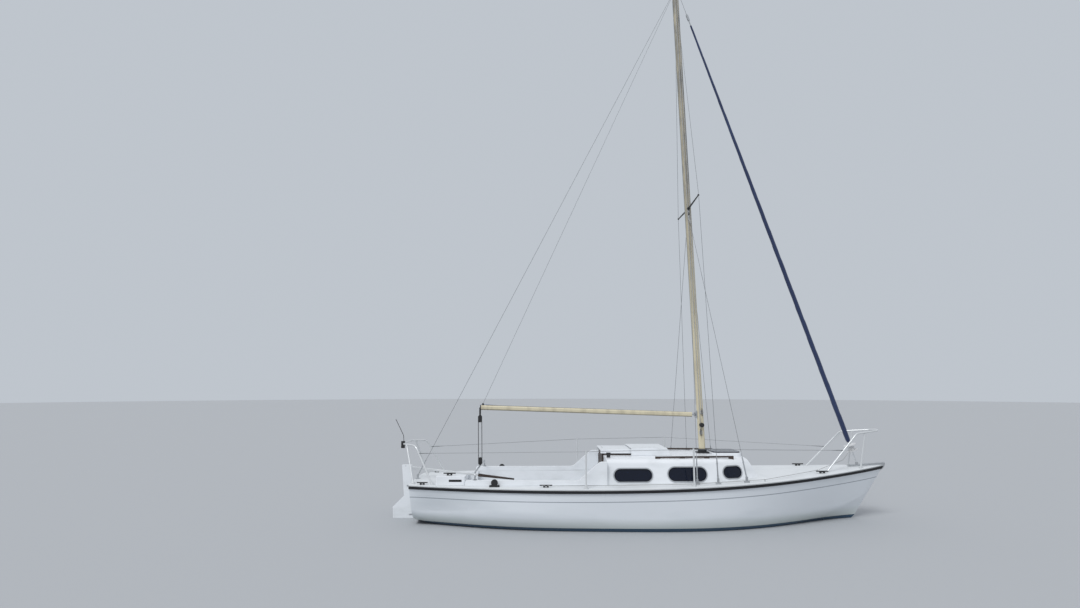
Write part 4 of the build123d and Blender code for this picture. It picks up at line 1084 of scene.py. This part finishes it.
class SLOOP_OT_hatch_fittings(bpy.types.Operator):
    """Adds the sliding hatch's grip, the fore hatch's rim, the locker hasps and a thin dark strip on the
    quarter locker's side
    """

    bl_idname = "sloop.hatch_fittings"
    bl_label = "Hatch and locker fittings"

    def execute(self, context):
        steel = finish("hatch steel", (0.52, 0.53, 0.54), 0.3, metallic=1.0)
        dark = finish("dark strip", (0.010, 0.010, 0.012), 0.8)
        grey = finish("hatch rim", (0.42, 0.44, 0.46), 0.4, metallic=0.7)
        low, high = vectors(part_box("sliding_hatch"))
        grip_x, grip_rise = low.x + 0.05, high.z + 0.0045
        grip = line([(grip_x, -0.09, high.z), (grip_x, -0.085, grip_rise), (grip_x, 0.085, grip_rise),
                     (grip_x, 0.09, high.z)], 0.0028, "hatch_grip")
        ride(paint(grip, steel), "main_hatch")
        low, high = vectors(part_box("fore_hatch"))
        hinge_long, rim_inset, corner_inset, knob_aft = 0.014, 0.012, 0.05, 0.035
        top = high.z
        fore = high.x - hinge_long
        rim = []
        for x in (low.x + rim_inset, fore - rim_inset):
            rim.append(bar((x, low.y + corner_inset, top), (x, high.y - corner_inset, top), 0.0022, 8))
        for y in (low.y + rim_inset, high.y - rim_inset):
            rim.append(bar((low.x + corner_inset, y, top), (fore - corner_inset, y, top), 0.0022, 8))
        for y in (-0.13, 0.13):
            knob_x = low.x + knob_aft
            rim.append(bar((knob_x, y, top - 0.001), (knob_x, y, top + 0.002), 0.012, 16))
        ride(paint(join(rim, "fore_hatch_rim"), grey), "forward_hatch")
        # A thin black strip laid along the quarter locker's outer side
        locker_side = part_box("quarter_locker")[0][1]
        slot = box((-2.788, locker_side - 0.0008, 0.640), (0.176, 0.003, 0.030), 0.0012)
        ride(paint(settle(slot, "quarter_locker_dark_strip"), dark))
        for body, node, side in (("port_locker", "locker_lid_port", 1),
                                 ("starboard_locker", "locker_lid_starboard", -1)):
            low, high = vectors(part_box(node))
            inner = low.y if side > 0 else high.y
            centre = ((low.x + high.x) / 2, inner + side * 0.025, high.z + 0.0008)
            hasp = box(centre, (0.035, 0.045, 0.003), 0.001)
            ride(paint(settle(hasp, node + "_hasp"), steel), body)
        return {"FINISHED"}


class SLOOP_OT_furling_line(bpy.types.Operator):
    """Leads the furling line from the drum along the starboard deck to the cockpit"""

    bl_idname = "sloop.furling_line"
    bl_label = "Furling line"

    def execute(self, context):
        rig = context.scene.sloop_rig
        rope = finish("furling rope", (0.35, 0.36, 0.36), 0.85)
        steel = finish("fairlead steel", (0.50, 0.51, 0.52), 0.3, metallic=1.0)
        radius = rig.rope_radius * furling_share
        route = vectors(line_start)
        eyes = []
        for x, y in line_eyes:
            foot = meet("deck", (x, -y, outside), down)[0]
            centre = foot + Vector((0, 0, eye_height))
            route.append(centre)
            eyes.append(ring(centre, hole_forward, 0.009, 0.003, 16))
            eyes.append(bar(foot, foot + Vector((0, 0, 0.015)), 0.006, 10))
        cleat = Vector(line_cleat)
        turns = [cleat + Vector(step) for step in line_turns]
        route.append(turns[0])
        ropes = [bar(start, end, radius, 8) for start, end in zip(route, route[1:])]
        ropes.append(line(turns, radius, "turns", 2))
        ride(paint(join(ropes, "furling_line"), rope))
        ride(paint(join(eyes, "furling_fairleads"), steel))
        return {"FINISHED"}


class SLOOP_OT_rudder_bolts(bpy.types.Operator):
    """Adds the bolts of the rudder's straps and of the tiller"""

    bl_idname = "sloop.rudder_bolts"
    bl_label = "Rudder bolts"

    def execute(self, context):
        steel = finish("rudder bolts", (0.45, 0.46, 0.47), 0.35, metallic=1.0)
        heads, straps = [], []
        for side in (-1, 1):
            inward = (0, -side, 0)
            for height in strap_heights:
                pin_x = axis_point("rudder_turn", height).x
                for aft in pintle_bolts:
                    place, normal = meet("pintles", (pin_x - aft, side, height), inward)
                    heads.append(stud(place, normal, radius=0.006, high=0.003, sides=6))
                for out in gudgeon_bolts:
                    start = (-outside, side * out, height - gudgeon_bolt_drop)
                    place, normal = meet("gudgeons", start, forward)
                    straps.append(stud(place, normal, radius=0.006, high=0.003, sides=6))
            for aft, height in tiller_bolts:
                pin_x = axis_point("rudder_turn", height).x
                place, normal = meet("rudder", (pin_x - aft, side, height), inward)
                heads.append(stud(place, normal, radius=0.008, high=0.004, sides=6))
        ride(paint(join(heads, "rudder_bolts"), steel), "rudder_and_tiller")
        ride(paint(join(straps, "gudgeon_bolts"), steel))
        return {"FINISHED"}


class SLOOP_PT_panel(bpy.types.Panel):
    """Lists the steps that dress the boat"""

    bl_label = "Small cruising sloop"
    bl_idname = "SLOOP_PT_panel"
    bl_space_type = "VIEW_3D"
    bl_region_type = "UI"
    bl_category = "Sloop"

    def draw(self, context):
        for step in steps:
            self.layout.operator(step.bl_idname)
        for group in ("sloop_look", "sloop_rig", "sloop_stage"):
            settings = getattr(context.scene, group)
            for name in settings.__annotations__:
                self.layout.prop(settings, name)


steps = (
    SLOOP_OT_stage,
    SLOOP_OT_mouldings,
    SLOOP_OT_metal_and_wood,
    SLOOP_OT_rolled_sail,
    SLOOP_OT_guard_wires,
    SLOOP_OT_mainsheet,
    SLOOP_OT_window_fittings,
    SLOOP_OT_mast_fittings,
    SLOOP_OT_boom_fittings,
    SLOOP_OT_rigging_ends,
    SLOOP_OT_deck_bolts,
    SLOOP_OT_hatch_fittings,
    SLOOP_OT_furling_line,
    SLOOP_OT_rudder_bolts,
)
groups = (SloopLook, SloopRig, SloopStage)


def register():
    for group in (*groups, *steps, SLOOP_PT_panel):
        bpy.utils.register_class(group)
    bpy.types.Scene.sloop_look = bpy.props.PointerProperty(type=SloopLook)
    bpy.types.Scene.sloop_rig = bpy.props.PointerProperty(type=SloopRig)
    bpy.types.Scene.sloop_stage = bpy.props.PointerProperty(type=SloopStage)


def unregister():
    del bpy.types.Scene.sloop_look
    del bpy.types.Scene.sloop_rig
    del bpy.types.Scene.sloop_stage
    for group in (SLOOP_PT_panel, *reversed(steps), *reversed(groups)):
        bpy.utils.unregister_class(group)


def main():
    register()
    for step in steps:
        area, name = step.bl_idname.split(".")
        getattr(getattr(bpy.ops, area), name)()


if __name__ == "__main__":
    main()
